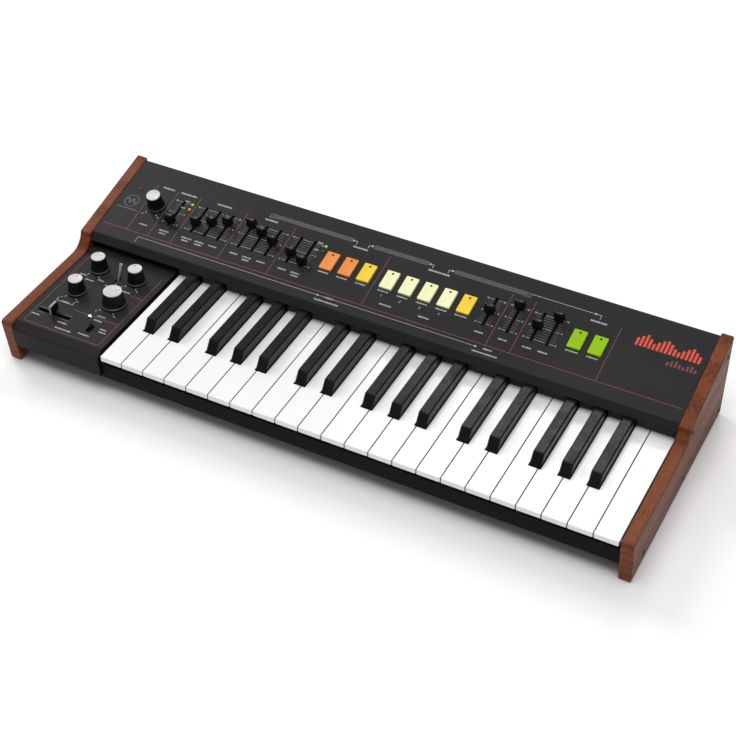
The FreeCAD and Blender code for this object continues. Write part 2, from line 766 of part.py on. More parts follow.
# ---------------------------------------------------------------- keys
def white_key(number):
    """A moulded white key, notched beside its black keys; its own x starts at its left slit."""
    letter = OCTAVE[number % 7]
    octave = LOWEST_OCTAVE + number // 7
    left_letter = OCTAVE[(number - 1) % 7]
    half_gap = size.key_gap / 2
    left, right = half_gap, size.key_pitch - half_gap
    shank_left, shank_right = left, right
    half_sharp = size.sharp_width / 2 + size.sharp_clear
    if left_letter in SHARP_OFFSETS and number > 0:
        shank_left = half_sharp + SHARP_OFFSETS[left_letter]
    if letter in SHARP_OFFSETS and number < WHITE_KEYS - 1:
        shank_right = size.key_pitch + SHARP_OFFSETS[letter] - half_sharp
    middle = (shank_left + shank_right) / 2
    tail = (middle - size.tail_width / 2, middle + size.tail_width / 2)
    name = f"white_key_{letter.lower()}{octave}"
    body = new_body(name)
    head, shank_end, wall = size.key_head, size.key_shank_end, size.key_wall
    plan = [
        (left, 0),
        (right, 0),
        (right, head),
        (shank_right, head),
        (shank_right, shank_end),
        (tail[1], shank_end),
        (tail[1], size.key_reach),
        (tail[0], size.key_reach),
        (tail[0], shank_end),
        (shank_left, shank_end),
        (shank_left, head),
        (left, head),
    ]
    blank = extrude(body, f"{name}_blank", "XY_Plane", size.key_base, size.key_top, [plan])

    def front_corner(edge):
        return along(edge, FreeCAD.Vector(0, 0, 1)) and near(edge.Vertexes[0].Point.y, 0)

    fillet(body, f"{name}_corners", blank, 0.9, front_corner)
    lip_foot = size.key_top - size.key_lip
    skin = size.key_top - size.key_skin
    clear_front = [
        (-1, size.key_base - 1),
        (22.0, size.key_base - 1),
        (22.0, lip_foot),
        (6.5, lip_foot),
        (6.5, skin),
        (size.key_lip_wall, skin),
        (size.key_lip_wall, lip_foot),
        (-1, lip_foot),
    ]
    across = (-1, size.key_pitch + 1)
    extrude(body, f"{name}_underside", "YZ_Plane", *across, [clear_front], cut=True)
    hollow_plan = [
        (left + wall, 6.4),
        (right - wall, 6.4),
        (right - wall, head - wall),
        (shank_right - wall, head - wall),
        (shank_right - wall, shank_end - 4),
        (shank_left + wall, shank_end - 4),
        (shank_left + wall, head - wall),
        (left + wall, head - wall),
    ]
    below = (size.key_base - 1, skin)
    extrude(body, f"{name}_hollow", "XY_Plane", *below, [hollow_plan], cut=True)
    bored = pivot_bore(body, name, across)

    def top_edge(edge):
        point = edge.Vertexes[0].Point
        level = near(point.z, size.key_top) and edge.BoundBox.ZLength < 1e-6
        return level and edge.BoundBox.YMin < size.key_head.value - 1

    fillet(body, f"{name}_edges", bored, 0.5, top_edge)
    finish_in_case(body, name, size.keys_left + size.key_pitch * number)


def pivot_bore(body, name, across):
    bore = (size.pivot_back, size.pivot_height, size.pivot_radius + size.running_gap)
    return extrude(body, f"{name}_bore", "YZ_Plane", *across, discs=[bore], cut=True)


def black_key(number):
    """A black key between white keys number and number + 1; its own x runs from its middle."""
    letter = OCTAVE[number % 7]
    octave = LOWEST_OCTAVE + number // 7
    name = f"black_key_{letter.lower()}s{octave}"
    body = new_body(name)
    side = [
        (size.sharp_front, size.sharp_base),
        (size.sharp_front, size.key_top + 0.6),
        (size.sharp_front + size.sharp_nose, size.sharp_top),
        (size.sharp_end, size.sharp_top),
        (size.sharp_end + 2.0, size.sharp_low),
        (size.key_shank_end, size.sharp_low),
        (size.key_shank_end, size.sharp_base),
    ]
    half = size.sharp_width / 2
    blank = extrude(body, f"{name}_blank", "YZ_Plane", -half, half, [side])

    def long_edge(edge):
        point = edge.Vertexes[0].Point
        bounds = edge.BoundBox
        side_face = near(abs(point.x), half) and bounds.XLength < 1e-6
        above_whites = bounds.ZMin > size.key_top.value
        return side_face and above_whites and bounds.YMax < size.sharp_end.value + 0.5

    bevelled = chamfer(body, f"{name}_bevel", blank, size.sharp_edge, long_edge)

    def crest(edge):
        point = edge.Vertexes[0].Point
        at_top = near(point.z, size.sharp_top) and near(
            point.y, size.sharp_front + size.sharp_nose
        )
        return along(edge, FreeCAD.Vector(1, 0, 0)) and at_top

    fillet(body, f"{name}_crest", bevelled, 1.6, crest)
    half_tail = size.tail_width / 2
    tail_start = size.key_shank_end - 2
    tail = rectangle(tail_start, size.key_reach, size.sharp_base, size.sharp_tail_top)
    extrude(body, f"{name}_tail", "YZ_Plane", -half_tail, half_tail, [tail])
    pivot_bore(body, name, (-8, 8))
    slit = size.keys_left + size.key_pitch * (number + 1)
    finish_in_case(body, name, slit + SHARP_OFFSETS[letter])


def keybed_frame():
    """Steel tray under the keys, the rod they turn on, and the felts that stop them."""
    left = size.keys_left + size.tray_inset
    right = size.keys_left + size.key_pitch * WHITE_KEYS - size.tray_inset
    front, floor = size.tray_front, size.tray_top - size.weld_depth
    rail_front, rail_back, rail_top = size.rear_rail_front, size.rear_rail_back, size.rear_rail_top
    underside = size.tray_top - size.tray_steel
    steel = [
        box("tray", left, right, front, size.tray_back, underside, size.tray_top),
        box("stop_rail", left, right, front, size.stop_rail_back, floor, size.stop_rail_top),
        box("rear_rail", left, right, rail_front, rail_back, floor, rail_top),
    ]
    # A lug holds the rod wherever two white keys meet with no black key between them.
    starts = [left, right - size.lug_width]
    for number in range(1, WHITE_KEYS):
        if OCTAVE[(number - 1) % 7] in "EB":
            starts.append(size.keys_left + size.key_pitch * number - size.lug_width / 2)
    for start in starts:
        span = (start, start + size.lug_width, rail_front + 1, rail_back - 1)
        steel.append(box("lug", *span, rail_top - 1, size.lug_top))
    pivot = (size.pivot_back, size.pivot_height)
    bore = rod("lug_bore", "x", (left - 1, *pivot), size.pivot_radius, right - left + 2)
    frame = cut("keybed_steel", fuse("keybed_pressing", steel), bore)
    pivot_rod = rod("key_rod", "x", (left, *pivot), size.pivot_radius, right - left)
    stop = (front - 1, size.stop_rail_back + 1, size.stop_rail_top, size.stop_felt_top)
    rest = (size.pivot_back - 2, size.pivot_back + 2, rail_top, size.rest_felt_top)
    felts = [box("stop_felt", left, right, *stop), box("rest_felt", left, right, *rest)]
    finish_in_case(group("keybed_frame", [frame, pivot_rod] + felts), "keybed_frame")


# ---------------------------------------------------------------- controls
def knob(label, frame, x, y, level, cap, skirt, flank):
    """A knob turned about its shaft, with a pointer groove from its middle to its edge."""
    body = new_body(label)
    top = size.knob_height
    profile = [
        (0, top),
        (cap - 0.5, top),
        (cap, top - 0.5),
        (flank, size.flank_foot),
        (skirt, size.skirt_top),
        (skirt, size.knob_lift),
        (size.shaft_radius, size.knob_lift),
        (size.shaft_radius, -size.shaft_depth),
        (0, -size.shaft_depth),
    ]
    revolve(body, f"{label}_turning", x, y, level, profile)
    half, x, y = size.groove_half, dim(x), dim(y)
    groove = rectangle(x - half, x + half, y + size.groove_start, y + skirt + 1)
    roof = dim(level) + top
    floor = roof - size.groove_depth
    extrude(body, f"{label}_pointer", "XY_Plane", floor, roof + 1, [groove], cut=True)
    finish = finish_on_panel if frame == "panel" else finish_in_case
    finish(body, label)


def knobs():
    small = (size.small_cap, size.small_skirt, size.small_body)
    large = (size.large_cap, size.large_skirt, size.large_body)
    knob("volume_knob", "panel", size.volume_at, size.control_row, 0, *small)
    labels = ["pod_knob_rear_left", "pod_knob_rear_right", "pod_knob_front_left"]
    labels.append("pod_knob_large")
    for label, (x, y) in zip(labels, pod_knob_places()):
        sizes = large if label == "pod_knob_large" else small
        knob(label, "case", x, y, size.pod_top, *sizes)


def fader_cap(body, name, u, v):
    """A tapered cap on a flat stem, cut to a shallow saddle for the fingertip."""
    foot, crest, height = size.fader_foot / 2, size.fader_crest / 2, size.fader_height
    lift, floor = size.fader_lift, height - size.saddle_depth
    cap = [(v - foot, lift), (v + foot, lift), (v + crest, height), (v - crest, height)]
    stem_ends = (-size.stem_reach, lift + size.weld_depth)
    stem = rectangle(v - size.stem_depth, v + size.stem_depth, *stem_ends)
    half, saddle = size.fader_width / 2, size.fader_width / 2 - 1.8
    extrude(body, f"{name}_cap", "YZ_Plane", u - half, u + half, [cap])
    extrude(body, f"{name}_stem", "YZ_Plane", u - size.stem_half, u + size.stem_half, [stem])
    dip = [
        (u - half + 0.6, height + 0.2),
        (u - saddle, floor),
        (u + saddle, floor),
        (u + half - 0.6, height + 0.2),
    ]
    dip_ends = (v - foot, v + foot)
    extrude(body, f"{name}_saddle", "XZ_Plane", *dip_ends, [dip], cut=True)


def fader_caps():
    for label, (lowest, highest) in FADER_SETS.items():
        body = new_body(label)
        for number, (u, v) in enumerate(fader_positions()):
            if lowest <= v.value <= highest:
                fader_cap(body, f"{label}_{number}", u, v)
        finish_on_panel(body, label)


def button_caps():
    body = new_body("button_caps")
    half_u, half_v = size.button_width / 2, size.button_depth / 2
    row = size.button_row
    plans = [
        rectangle(u - half_u, u + half_u, row - half_v, row + half_v) for u in button_positions()
    ]
    plungers = [(u, row, size.plunger_radius) for u in button_positions()]
    foot = -size.button_foot
    caps = extrude(body, "button_slabs", "XY_Plane", foot, size.button_rise, plans)

    def rim(edge):
        return near(edge.BoundBox.ZMin, size.button_rise)

    fillet(body, "button_edges", caps, 0.5, rim)
    plunger_ends = (-size.plunger_foot, foot + 0.2)
    extrude(body, "button_plungers", "XY_Plane", *plunger_ends, discs=plungers)
    finish_on_panel(body, "button_caps")


def bend_paddle():
    """A flat upright paddle on an arm that swings sideways about an axle along y."""
    x, y, pivot = size.pod_column_left, size.paddle_row, size.paddle_pivot
    hub = rod("paddle_hub", "y", (x, y - 3, pivot), 4.0, 6.0)
    arm = box("paddle_arm", x - 2.5, x + 2.5, y - 1.1, y + 1.1, pivot + 2, size.pod_top + 3)
    top = size.pod_top
    blade = box("paddle_blade", x - 1.7, x + 1.7, y - 5.4, y + 6.0, top + 2.0, top + 12.0)
    bore = rod("paddle_bore", "y", (x, y - 4, pivot), size.axle_radius + size.running_gap, 8.0)
    paddle = cut("bend_paddle", fuse("paddle_moulding", [hub, arm, blade]), bore)
    finish_in_case(paddle, "bend_paddle")


def pod_lever():
    """A slim metal lever that leans back at rest, on an axle along x."""
    body = new_body("pod_lever")
    x, y, pivot = size.lever_at, size.lever_row, size.lever_pivot
    blade = [
        (y - 0.8, pivot + 0.4),
        (y + 0.8, pivot - 0.4),
        (y + size.lever_run + 1.0, pivot + size.lever_rise - 0.5),
        (y + size.lever_run - 1.0, pivot + size.lever_rise + 0.5),
    ]
    extrude(body, "lever_hub", "YZ_Plane", x - 1.9, x + 1.9, discs=[(y, pivot, size.hub_radius)])
    extrude(body, "lever_blade", "YZ_Plane", x - 1.6, x + 1.6, [blade])
    bore = (y, pivot, size.axle_radius + size.running_gap)
    extrude(body, "lever_bore", "YZ_Plane", x - 3, x + 3, discs=[bore], cut=True)
    finish_in_case(body, "pod_lever")


def pod_toggle():
    """A short black toggle that leans back at rest, on an axle along x."""
    body = new_body("pod_toggle")
    x, y, pivot = size.pod_column_right, size.toggle_row, size.toggle_pivot
    bat = [
        (y - 1.4, pivot),
        (y + 1.4, pivot),
        (y + size.toggle_run + 1.5, pivot + size.toggle_rise - 0.5),
        (y + size.toggle_run - 1.5, pivot + size.toggle_rise + 0.5),
    ]
    extrude(body, "toggle_hub", "YZ_Plane", x - 3, x + 3, discs=[(y, pivot, size.hub_radius)])
    extrude(body, "toggle_bat", "YZ_Plane", x - 2.0, x + 2.0, [bat])
    bore = (y, pivot, size.axle_radius + size.running_gap)
    extrude(body, "toggle_bore", "YZ_Plane", x - 4, x + 4, discs=[bore], cut=True)
    finish_in_case(body, "pod_toggle")


# ---------------------------------------------------------------- electronics
def bushed_pot(name, x, y, board, mouth):
    """A rotary control's body on its board, with the bush that a knob's shaft turns in."""
    x, y, board, mouth = dim(x), dim(y), dim(board), dim(mouth)
    shell = box(f"{name}_body", x - 5.5, x + 5.5, y - 5.5, y + 5.5, board, mouth - 2.5)
    bush = rod(f"{name}_bush", "z", (x, y, mouth - 3), size.bush_radius, 3.0)
    depth = mouth - board
    bore_radius = size.shaft_radius + size.running_gap
    bore = rod(f"{name}_bore", "z", (x, y, board + 1), bore_radius, depth)
    return cut(name, fuse(f"{name}_shell", [shell, bush]), bore)


def panel_electronics():
    """The board under the sloping panel with its fader tracks, switches and lights."""
    top = 1.6 - size.board_depth
    board = box("panel_board", -300.0, 300.0, 32.0, 100.0, -size.board_depth, top)
    pieces = [board, bushed_pot("volume_pot", size.volume_at, size.control_row, top, -0.1)]
    reach = size.fader_travel / 2
    for u, _ in fader_positions():
        row = size.control_row
        track = box("track", u - 4.2, u + 4.2, row - reach - 8, row + reach + 8, top, -4.0)
        groove_ends = (row - reach - 3, row + reach + 3)
        groove = box("groove", u - 1.1, u + 1.1, *groove_ends, -9.5, -3.0)
        pieces.append(cut("fader_track", track, groove))
    for u in button_positions():
        row = size.button_row
        pieces.append(box("switch", u - 5, u + 5, row - 5, row + 5, top, -9.2))
    for u, v in panel_lights():
        pieces.append(rod("light", "z", (u, v, top), size.led_radius, 0.9 - top))
    under_panel = group("panel_electronics", pieces)
    place_on_panel(under_panel)
    return under_panel


def pod_electronics():
    """The pod's board, open round the bend paddle's arm."""
    low, top = 31.0, 32.6
    board = box("pod_board", -303.0, -216.0, 16.0, 124.0, low, top)
    column, row = size.pod_column_left, size.paddle_row
    window = box("paddle_window", column - 16, column + 16, row - 6, row + 6, low - 1, top + 1)
    mouth = size.pod_top - 0.1
    pieces = [cut("pod_board_cut", board, window)]
    for x, y in pod_knob_places():
        pieces.append(bushed_pot("pod_pot", x, y, top, mouth))
    x, y = POD_LED
    pieces.append(rod("pod_light", "z", (x, y, top), size.led_radius, size.pod_top + 0.9 - top))
    in_pod = group("pod_electronics", pieces)
    place_in_case(in_pod)
    return in_pod


def circuit_boards():
    """All boards with what is soldered to them."""
    contacts = box("contact_board", -205.0, 303.0, 60.0, 120.0, 15.5, 17.1)
    sockets = box("socket_board", -10.0, 296.0, 205.0, 237.0, 27.0, 28.6)
    in_case = group("case_boards", [contacts, sockets])
    place_in_case(in_case)
    boards = group("circuit_boards", [panel_electronics(), pod_electronics(), in_case])
    boards.Label = "circuit_boards"
    nodes.append(boards)


def rear_sockets():
    """Round sockets through the rear wall; each one's bore opens to the back."""
    row, wall = size.socket_row, size.case_rear
    sockets = []
    for kind, x in SOCKET_PLACES:
        inner_end, proud, radius, bore, bore_end, rim = SOCKET_KINDS[kind]
        outer_end = wall + proud
        shell = rod(f"{kind}_shell", "y", (x, inner_end, row), radius, outer_end - inner_end)
        if rim:
            nut = rod(f"{kind}_nut", "y", (x, wall + 0.1, row), rim, dim(proud) - 0.1)
            shell = fuse(f"{kind}_body", [shell, nut])
        hole = rod(f"{kind}_hole", "y", (x, bore_end, row), bore, outer_end + 1 - bore_end)
        sockets.append(cut(kind, shell, hole))
    finish_in_case(group("rear_sockets", sockets), "rear_sockets")


# ---------------------------------------------------------------- fasteners and feet
def case_screws():
    """Dark machine screws that hold the cheeks to the case."""
    screws = []
    for side in (-1, 1):
        seat = size.case_half_width + size.cheek_thickness - size.head_sink
        radius, length, overlap = size.screw_radius, size.screw_length, 0.2
        for y, z in CHEEK_SCREWS:
            if side > 0:
                head_start, shank_start = seat, seat + overlap - length
            else:
                head_start, shank_start = -seat - size.head_height, -seat - overlap
            head = rod("screw_head", "x", (head_start, y, z), size.screw_head, size.head_height)
            shank = rod("screw_shank", "x", (shank_start, y, z), radius, length)
            screws.append(fuse("cheek_screw", [head, shank]))
    finish_in_case(group("case_screws", screws), "case_screws")


def rubber_feet():
    feet = []
    for x, y in FOOT_PLACES:
        foot = doc.addObject("Part::Cone", "foot")
        bind(foot, "Radius1", size.foot_radius - 1)
        bind(foot, "Radius2", size.foot_radius)
        bind(foot, "Height", size.foot_drop + size.case_floor)
        for axis, place in zip("xyz", (x, y, -size.foot_drop)):
            bind(foot, f".Placement.Base.{axis}", place)
        feet.append(foot)
    finish_in_case(group("rubber_feet", feet), "rubber_feet")


# ---------------------------------------------------------------- the whole instrument
def build():
    cheek("right_cheek", size.case_half_width, size.case_half_width + size.cheek_thickness)
    cheek("left_cheek", -size.case_half_width, -size.case_half_width - size.cheek_thickness)
    bottom_case()
    top_panel()
    pod_panel()
    keybed_frame()
    for number in range(WHITE_KEYS):
        white_key(number)
        if OCTAVE[number % 7] in SHARP_OFFSETS and number < WHITE_KEYS - 1:
            black_key(number)
    knobs()
    fader_caps()
    button_caps()
    bend_paddle()
    pod_lever()
    pod_toggle()
    circuit_boards()
    rear_sockets()
    case_screws()
    rubber_feet()
    doc.recompute()


def export():
    """Write every node, once nothing in the document has failed."""
    failed = [
        item.Name for item in doc.Objects if "Invalid" in item.State or "Error" in item.State
    ]
    failed += [node.Label for node in nodes if node.Shape.isNull() or not node.Shape.isValid()]
    if failed:
        raise RuntimeError(f"failed objects: {failed}")
    os.makedirs("parts", exist_ok=True)
    for node in nodes:
        node.Shape.exportStep(f"parts/{node.Label}.step")
    bounds = FreeCAD.BoundBox()
    for node in nodes:
        bounds.add(node.Shape.BoundBox)
    print(f"{len(nodes)} nodes, {bounds}")


size = Sizes()
build()
export()
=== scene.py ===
import json
import math
import random

import bmesh
import bpy
from mathutils import Matrix, Vector


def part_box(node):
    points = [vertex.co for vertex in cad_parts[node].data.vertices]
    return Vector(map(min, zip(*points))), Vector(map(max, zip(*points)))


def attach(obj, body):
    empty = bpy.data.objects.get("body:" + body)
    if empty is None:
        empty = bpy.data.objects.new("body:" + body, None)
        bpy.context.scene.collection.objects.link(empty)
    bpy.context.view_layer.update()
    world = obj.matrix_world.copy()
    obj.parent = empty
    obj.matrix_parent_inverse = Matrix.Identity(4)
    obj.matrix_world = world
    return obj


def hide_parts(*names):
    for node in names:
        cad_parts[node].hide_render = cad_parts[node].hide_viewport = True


# The looks of a 37-key synthesizer. Lengths are millimetres, turned into metres by MM.
# "across", "up" and "out" are places on a face of the case: see class Face.

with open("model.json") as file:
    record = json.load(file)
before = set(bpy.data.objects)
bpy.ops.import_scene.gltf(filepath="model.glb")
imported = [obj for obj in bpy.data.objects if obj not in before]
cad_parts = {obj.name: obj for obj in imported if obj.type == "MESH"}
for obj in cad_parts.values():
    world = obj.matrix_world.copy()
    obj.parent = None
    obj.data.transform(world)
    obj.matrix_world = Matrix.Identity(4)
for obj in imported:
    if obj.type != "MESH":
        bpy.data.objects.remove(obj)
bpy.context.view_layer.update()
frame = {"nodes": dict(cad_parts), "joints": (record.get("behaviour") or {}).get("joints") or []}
scene = bpy.context.scene

MM = 0.001
CASE = "case"
INK = 0.05  # thickness of printed ink
CONTROL_ROW = 57.2  # the volume knob and the middle of the faders, up the panel
POD_FACE = 2.0  # the pod's front face stands this far in front of the white keys
KNOB_HEIGHT = 17.0
ACROSS = Vector((1, 0, 0))
joints = {joint["name"]: joint for joint in frame["joints"]}


# ---------- faces of the case
class Face:
    """A flat face: a place on it is (across, up, out) in millimetres from its origin."""

    def __init__(self, origin, across, up):
        self.origin = Vector(origin)
        self.across = Vector(across).normalized()
        self.up = Vector(up).normalized()
        self.out = self.across.cross(self.up)

    def at(self, across, up, out=0.0):
        offset = self.across * across + self.up * up + self.out * out
        return self.origin + offset * MM

    def place_of(self, point):
        offset = (Vector(point) - self.origin) / MM
        return offset.dot(self.across), offset.dot(self.up), offset.dot(self.out)

    def moved(self, across, up, out=0.0, turn=0.0):
        """The same face with its origin moved, and turned by an angle in degrees."""
        angle = math.radians(turn)
        new_across = self.across * math.cos(angle) + self.up * math.sin(angle)
        new_up = self.up * math.cos(angle) - self.across * math.sin(angle)
        return Face(self.at(across, up, out), new_across, new_up)


slope = Vector(joints["faders_low_slide"]["axis"])
volume_spot = Vector(joints["knob_volume_turn"]["pos_m"])
panel = Face(Vector((0, volume_spot.y, volume_spot.z)) - slope * CONTROL_ROW * MM, ACROSS, slope)
pod_low, pod_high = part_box("pod_panel")
pod = Face((0, pod_low.y + POD_FACE * MM, pod_high.z), ACROSS, (0, 1, 0))
rear = Face((0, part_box("bottom_case")[1].y, 0), (-1, 0, 0), (0, 0, 1))
ground = Face((0, 0, 0), ACROSS, (0, 1, 0))


def solids(node):
    """The points of each separate solid of a CAD node, from left to right."""
    mesh = frame["nodes"][node].data
    spots = [tuple(round(c, 6) for c in vertex.co) for vertex in mesh.vertices]
    leader = {spot: spot for spot in spots}

    def find(spot):
        while leader[spot] != spot:
            leader[spot] = leader[leader[spot]]
            spot = leader[spot]
        return spot

    for polygon in mesh.polygons:
        first = find(spots[polygon.vertices[0]])
        for index in polygon.vertices[1:]:
            leader[find(spots[index])] = first
    groups = {}
    for spot in leader:
        groups.setdefault(find(spot), []).append(Vector(spot))
    return sorted(groups.values(), key=lambda points: min(point.x for point in points))


def extent(face, points):
    """Lowest and highest (across, up, out) of some points on a face."""
    places = [face.place_of(point) for point in points]
    return tuple(map(min, zip(*places))), tuple(map(max, zip(*places)))


def seats(face, node):
    """For each solid of a node: the face moved to its middle, and its two corners there."""
    for points in solids(node):
        low, high = extent(face, points)
        yield face.moved(*middle_of(low, high)), low, high


def corners(points):
    """The lowest and highest corner of the box round some points."""
    return Vector(map(min, zip(*points))), Vector(map(max, zip(*points)))


def middle_of(low, high):
    """The middle between two corners, by their first two values."""
    return (low[0] + high[0]) / 2, (low[1] + high[1]) / 2


# ---------- materials
class Graph:
    """A material's node tree, with short calls for the nodes used here."""

    def __init__(self, name):
        self.material = bpy.data.materials.new(name)
        self.material.use_nodes = True
        self.nodes = self.material.node_tree.nodes
        self.links = self.material.node_tree.links
        self.shader = self.nodes["Principled BSDF"]
        self.place = self.node("TexCoord").outputs["Object"]

    def set(self, **values):
        for name, value in values.items():
            self.shader.inputs[name.replace("_", " ")].default_value = value
        return self

    def join(self, output, node, socket):
        self.links.new(output, node.inputs[socket])

    def node(self, kind, inputs=None, **settings):
        """A new node; inputs are its sockets' values, settings its own properties."""
        made = self.nodes.new(f"ShaderNode{kind}")
        for name, value in settings.items():
            setattr(made, name, value)
        for name, value in (inputs or {}).items():
            made.inputs[name].default_value = value
        return made

    def stretched(self, scale, turn=(0, 0, 0), shift=(0, 0, 0)):
        mapping = self.node("Mapping", {"Scale": scale, "Rotation": turn, "Location": shift})
        self.join(self.place, mapping, "Vector")
        return mapping.outputs["Vector"]

    def noise(self, scale, detail=3.0, place=None, roughness=0.5, distortion=0.0):
        inputs = {"Scale": scale, "Detail": detail, "Roughness": roughness, "Distortion": distortion}
        texture = self.node("TexNoise", inputs)
        self.join(place or self.place, texture, "Vector")
        return texture.outputs["Fac"]

    def ramp(self, value, *stops):
        """stops are (position, colour or grey level)."""
        ramp = self.node("ValToRGB")
        elements = ramp.color_ramp.elements
        while len(elements) < len(stops):
            elements.new(0.5)
        for element, (position, colour) in zip(elements, stops):
            element.position = position
            if isinstance(colour, (int, float)):
                colour = (colour,) * 3
            element.color = (*colour, 1.0)
        self.join(value, ramp, "Fac")
        return ramp.outputs["Color"]

    def patches(self, value, low=0.35, high=0.7):
        """Soft patches from 0 to 1 where a noise rises from low to high."""
        return self.ramp(value, (low, 0.0), (high, 1.0))

    def mix(self, factor, low, high, mode="MIX"):
        """Mix two colours; each is a socket or a plain colour."""
        mixer = self.node("Mix", data_type="RGBA", blend_type=mode)
        for index, value in ((0, factor), (6, low), (7, high)):
            self.feed(mixer.inputs[index], value)
        return mixer.outputs[2]

    def math(self, operation, first, second):
        reckoner = self.node("Math", operation=operation)
        self.feed(reckoner.inputs[0], first)
        self.feed(reckoner.inputs[1], second)
        return reckoner.outputs["Value"]

    def feed(self, socket, value):
        """Give a socket another socket's output, a colour or a number."""
        if isinstance(value, bpy.types.NodeSocket):
            self.links.new(value, socket)
        else:
            socket.default_value = (*value, 1.0) if isinstance(value, tuple) else value

    def edges(self, radius):
        """1 along convex and concave edges within a radius in metres, 0 on flat faces."""
        bevel = self.node("Bevel", {"Radius": radius}, samples=4)
        product = self.node("VectorMath", operation="DOT_PRODUCT")
        self.join(bevel.outputs["Normal"], product, 0)
        self.join(self.node("NewGeometry").outputs["Normal"], product, 1)
        return self.ramp(product.outputs["Value"], (0.72, 1.0), (0.985, 0.0))

    def bump(self, *layers):
        """layers are (height, strength, distance in metres), stacked."""
        normal = None
        for height, strength, distance in layers:
            bump = self.node("Bump", {"Strength": strength, "Distance": distance})
            self.join(height, bump, "Height")
            if normal:
                self.join(normal, bump, "Normal")
            normal = bump.outputs["Normal"]
        self.join(normal, self.shader, "Normal")
        return self

    def colour(self, output):
        self.join(output, self.shader, "Base Color")
        return self

    def clouded(self, value, colour, shade, low=0.35, high=0.7):
        """A colour that drifts to a darker shade of itself in soft patches."""
        darker = tuple(channel * shade for channel in colour)
        return self.colour(self.mix(self.patches(value, low, high), colour, darker))

    def rough(self, value, low, high, start=0.35):
        """Roughness between two values, by a noise."""
        self.join(self.ramp(value, (start, low), (0.7, high)), self.shader, "Roughness")
        return self


def walnut(name, shift):
    """Oiled reddish wood with the grain along the cheek's depth."""
    g = Graph(name)
    along = g.stretched((1.0, 0.09, 1.0), shift=shift)
    warp = g.noise(38.0, 4.0, along, 0.55)
    inputs = {"Scale": 34.0, "Distortion": 5.5, "Detail": 3.0, "Detail Scale": 30.0}
    figure = g.node("TexWave", inputs, wave_type="BANDS", bands_direction="Z")
    g.join(g.stretched((1.0, 0.12, 1.0), (0.05, 0, 0), shift), figure, "Vector")
    rings = g.ramp(
        figure.outputs["Fac"], (0.0, (0.118, 0.029, 0.0095)), (0.45, (0.215, 0.061, 0.021)),
        (0.8, (0.275, 0.088, 0.032)), (1.0, (0.19, 0.053, 0.018)),
    )
    shade = g.ramp(warp, (0.3, (0.62, 0.56, 0.52)), (0.72, (1.18, 1.12, 1.08)))
    wood = g.mix(0.85, rings, shade, "MULTIPLY")
    fibre = g.noise(1.0, 2.0, g.stretched((2600.0, 70.0, 2600.0), shift=shift), 0.6)
    pores = g.noise(1.0, 1.0, g.stretched((1500.0, 95.0, 1500.0), shift=shift))
    pores = g.patches(pores, 0.3, 0.4)
    wood = g.mix(g.ramp(fibre, (0.35, 0.3), (0.7, 0.0)), wood, (0.06, 0.016, 0.006))
    wood = g.mix(g.ramp(pores, (0.0, 0.62), (1.0, 0.0)), wood, (0.03, 0.009, 0.005))
    wear = g.ramp(g.noise(45.0, 3.0), (0.45, 0.0), (0.6, 0.5))
    worn = g.math("MULTIPLY", g.edges(0.0012), wear)
    g.colour(g.mix(worn, wood, (0.27, 0.1, 0.045)))
    g.rough(g.noise(60.0, 4.0, along), 0.42, 0.56, 0.3)
    g.bump((pores, 0.35, 0.0002), (fibre, 0.22, 0.0001))
    return g.set(Coat_Weight=0.02, Coat_Roughness=0.35, Specular_IOR_Level=0.14).material


def powder_coat(name, gloss):
    """Fine-grained black paint on folded steel, with painted light on what faces up, in soft patches.
    """
    g = Graph(name)
    grain = g.noise(2300.0, 2.0, roughness=0.6)
    orange_peel = g.noise(420.0, 2.0)
    # Painted light: faces that point up get a lighter colour than steep ones, as if lit from above.
    facing = g.node("SeparateXYZ")
    g.join(g.node("NewGeometry").outputs["Normal"], facing, "Vector")
    painted_top_light = g.ramp(facing.outputs["Z"], (0.05, 0.0), (0.4, 0.8))
    patches = g.ramp(g.noise(9.0, 5.0), (0.42, 0.75), (0.75, 1.0))
    speckle = g.patches(grain, 0.35, 0.75)
    coat = g.mix(speckle, (0.005, 0.005, 0.0052), (0.0105, 0.0105, 0.011))
    coat = g.mix(g.math("MULTIPLY", painted_top_light, patches), coat, (0.028, 0.0277, 0.0272))
    wear = g.ramp(g.noise(70.0, 4.0), (0.5, 0.0), (0.72, 0.55))
    rubbed = g.math("MULTIPLY", g.edges(0.0009), wear)
    g.colour(g.mix(rubbed, coat, (0.05, 0.049, 0.047)))
    smudges = g.ramp(g.noise(22.0, 5.0), (0.35, 0.36), (0.65, 0.44))
    g.join(g.mix(grain, smudges, (0.46, 0.46, 0.46)), g.shader, "Roughness")
    g.set(Specular_IOR_Level=gloss)
    return g.bump((orange_peel, 0.12, 0.0002), (grain, 0.4, 0.00005)).material


def key_plastic(name, light, dark, low_rough, high_rough, wave, gloss, shades_slits):
    """Moulded key plastic: uneven gloss with finger marks, and painted shade down in the slits."""
    g = Graph(name)
    skin_colour = g.mix(g.patches(g.noise(26.0, 4.0)), light, dark)
    # Painted shade: where ambient occlusion finds the slits between keys, the colour turns nearly
    # black.
    if shades_slits:
        crevice = g.node("AmbientOcclusion", {"Distance": 0.003}, samples=8)
        slit_shade = tuple(channel * 0.06 for channel in dark)
        unshaded = g.patches(crevice.outputs["AO"], 0.27, 0.6)
        skin_colour = g.mix(unshaded, slit_shade, skin_colour)
    g.colour(skin_colour)
    g.set(Specular_IOR_Level=gloss)
    g.rough(g.noise(95.0, 5.0, roughness=0.65), low_rough, high_rough)
    skin = g.noise(1600.0, 2.0)
    return g.bump((g.noise(14.0, 1.0), 0.1, wave), (skin, 0.1, 0.00003)).material


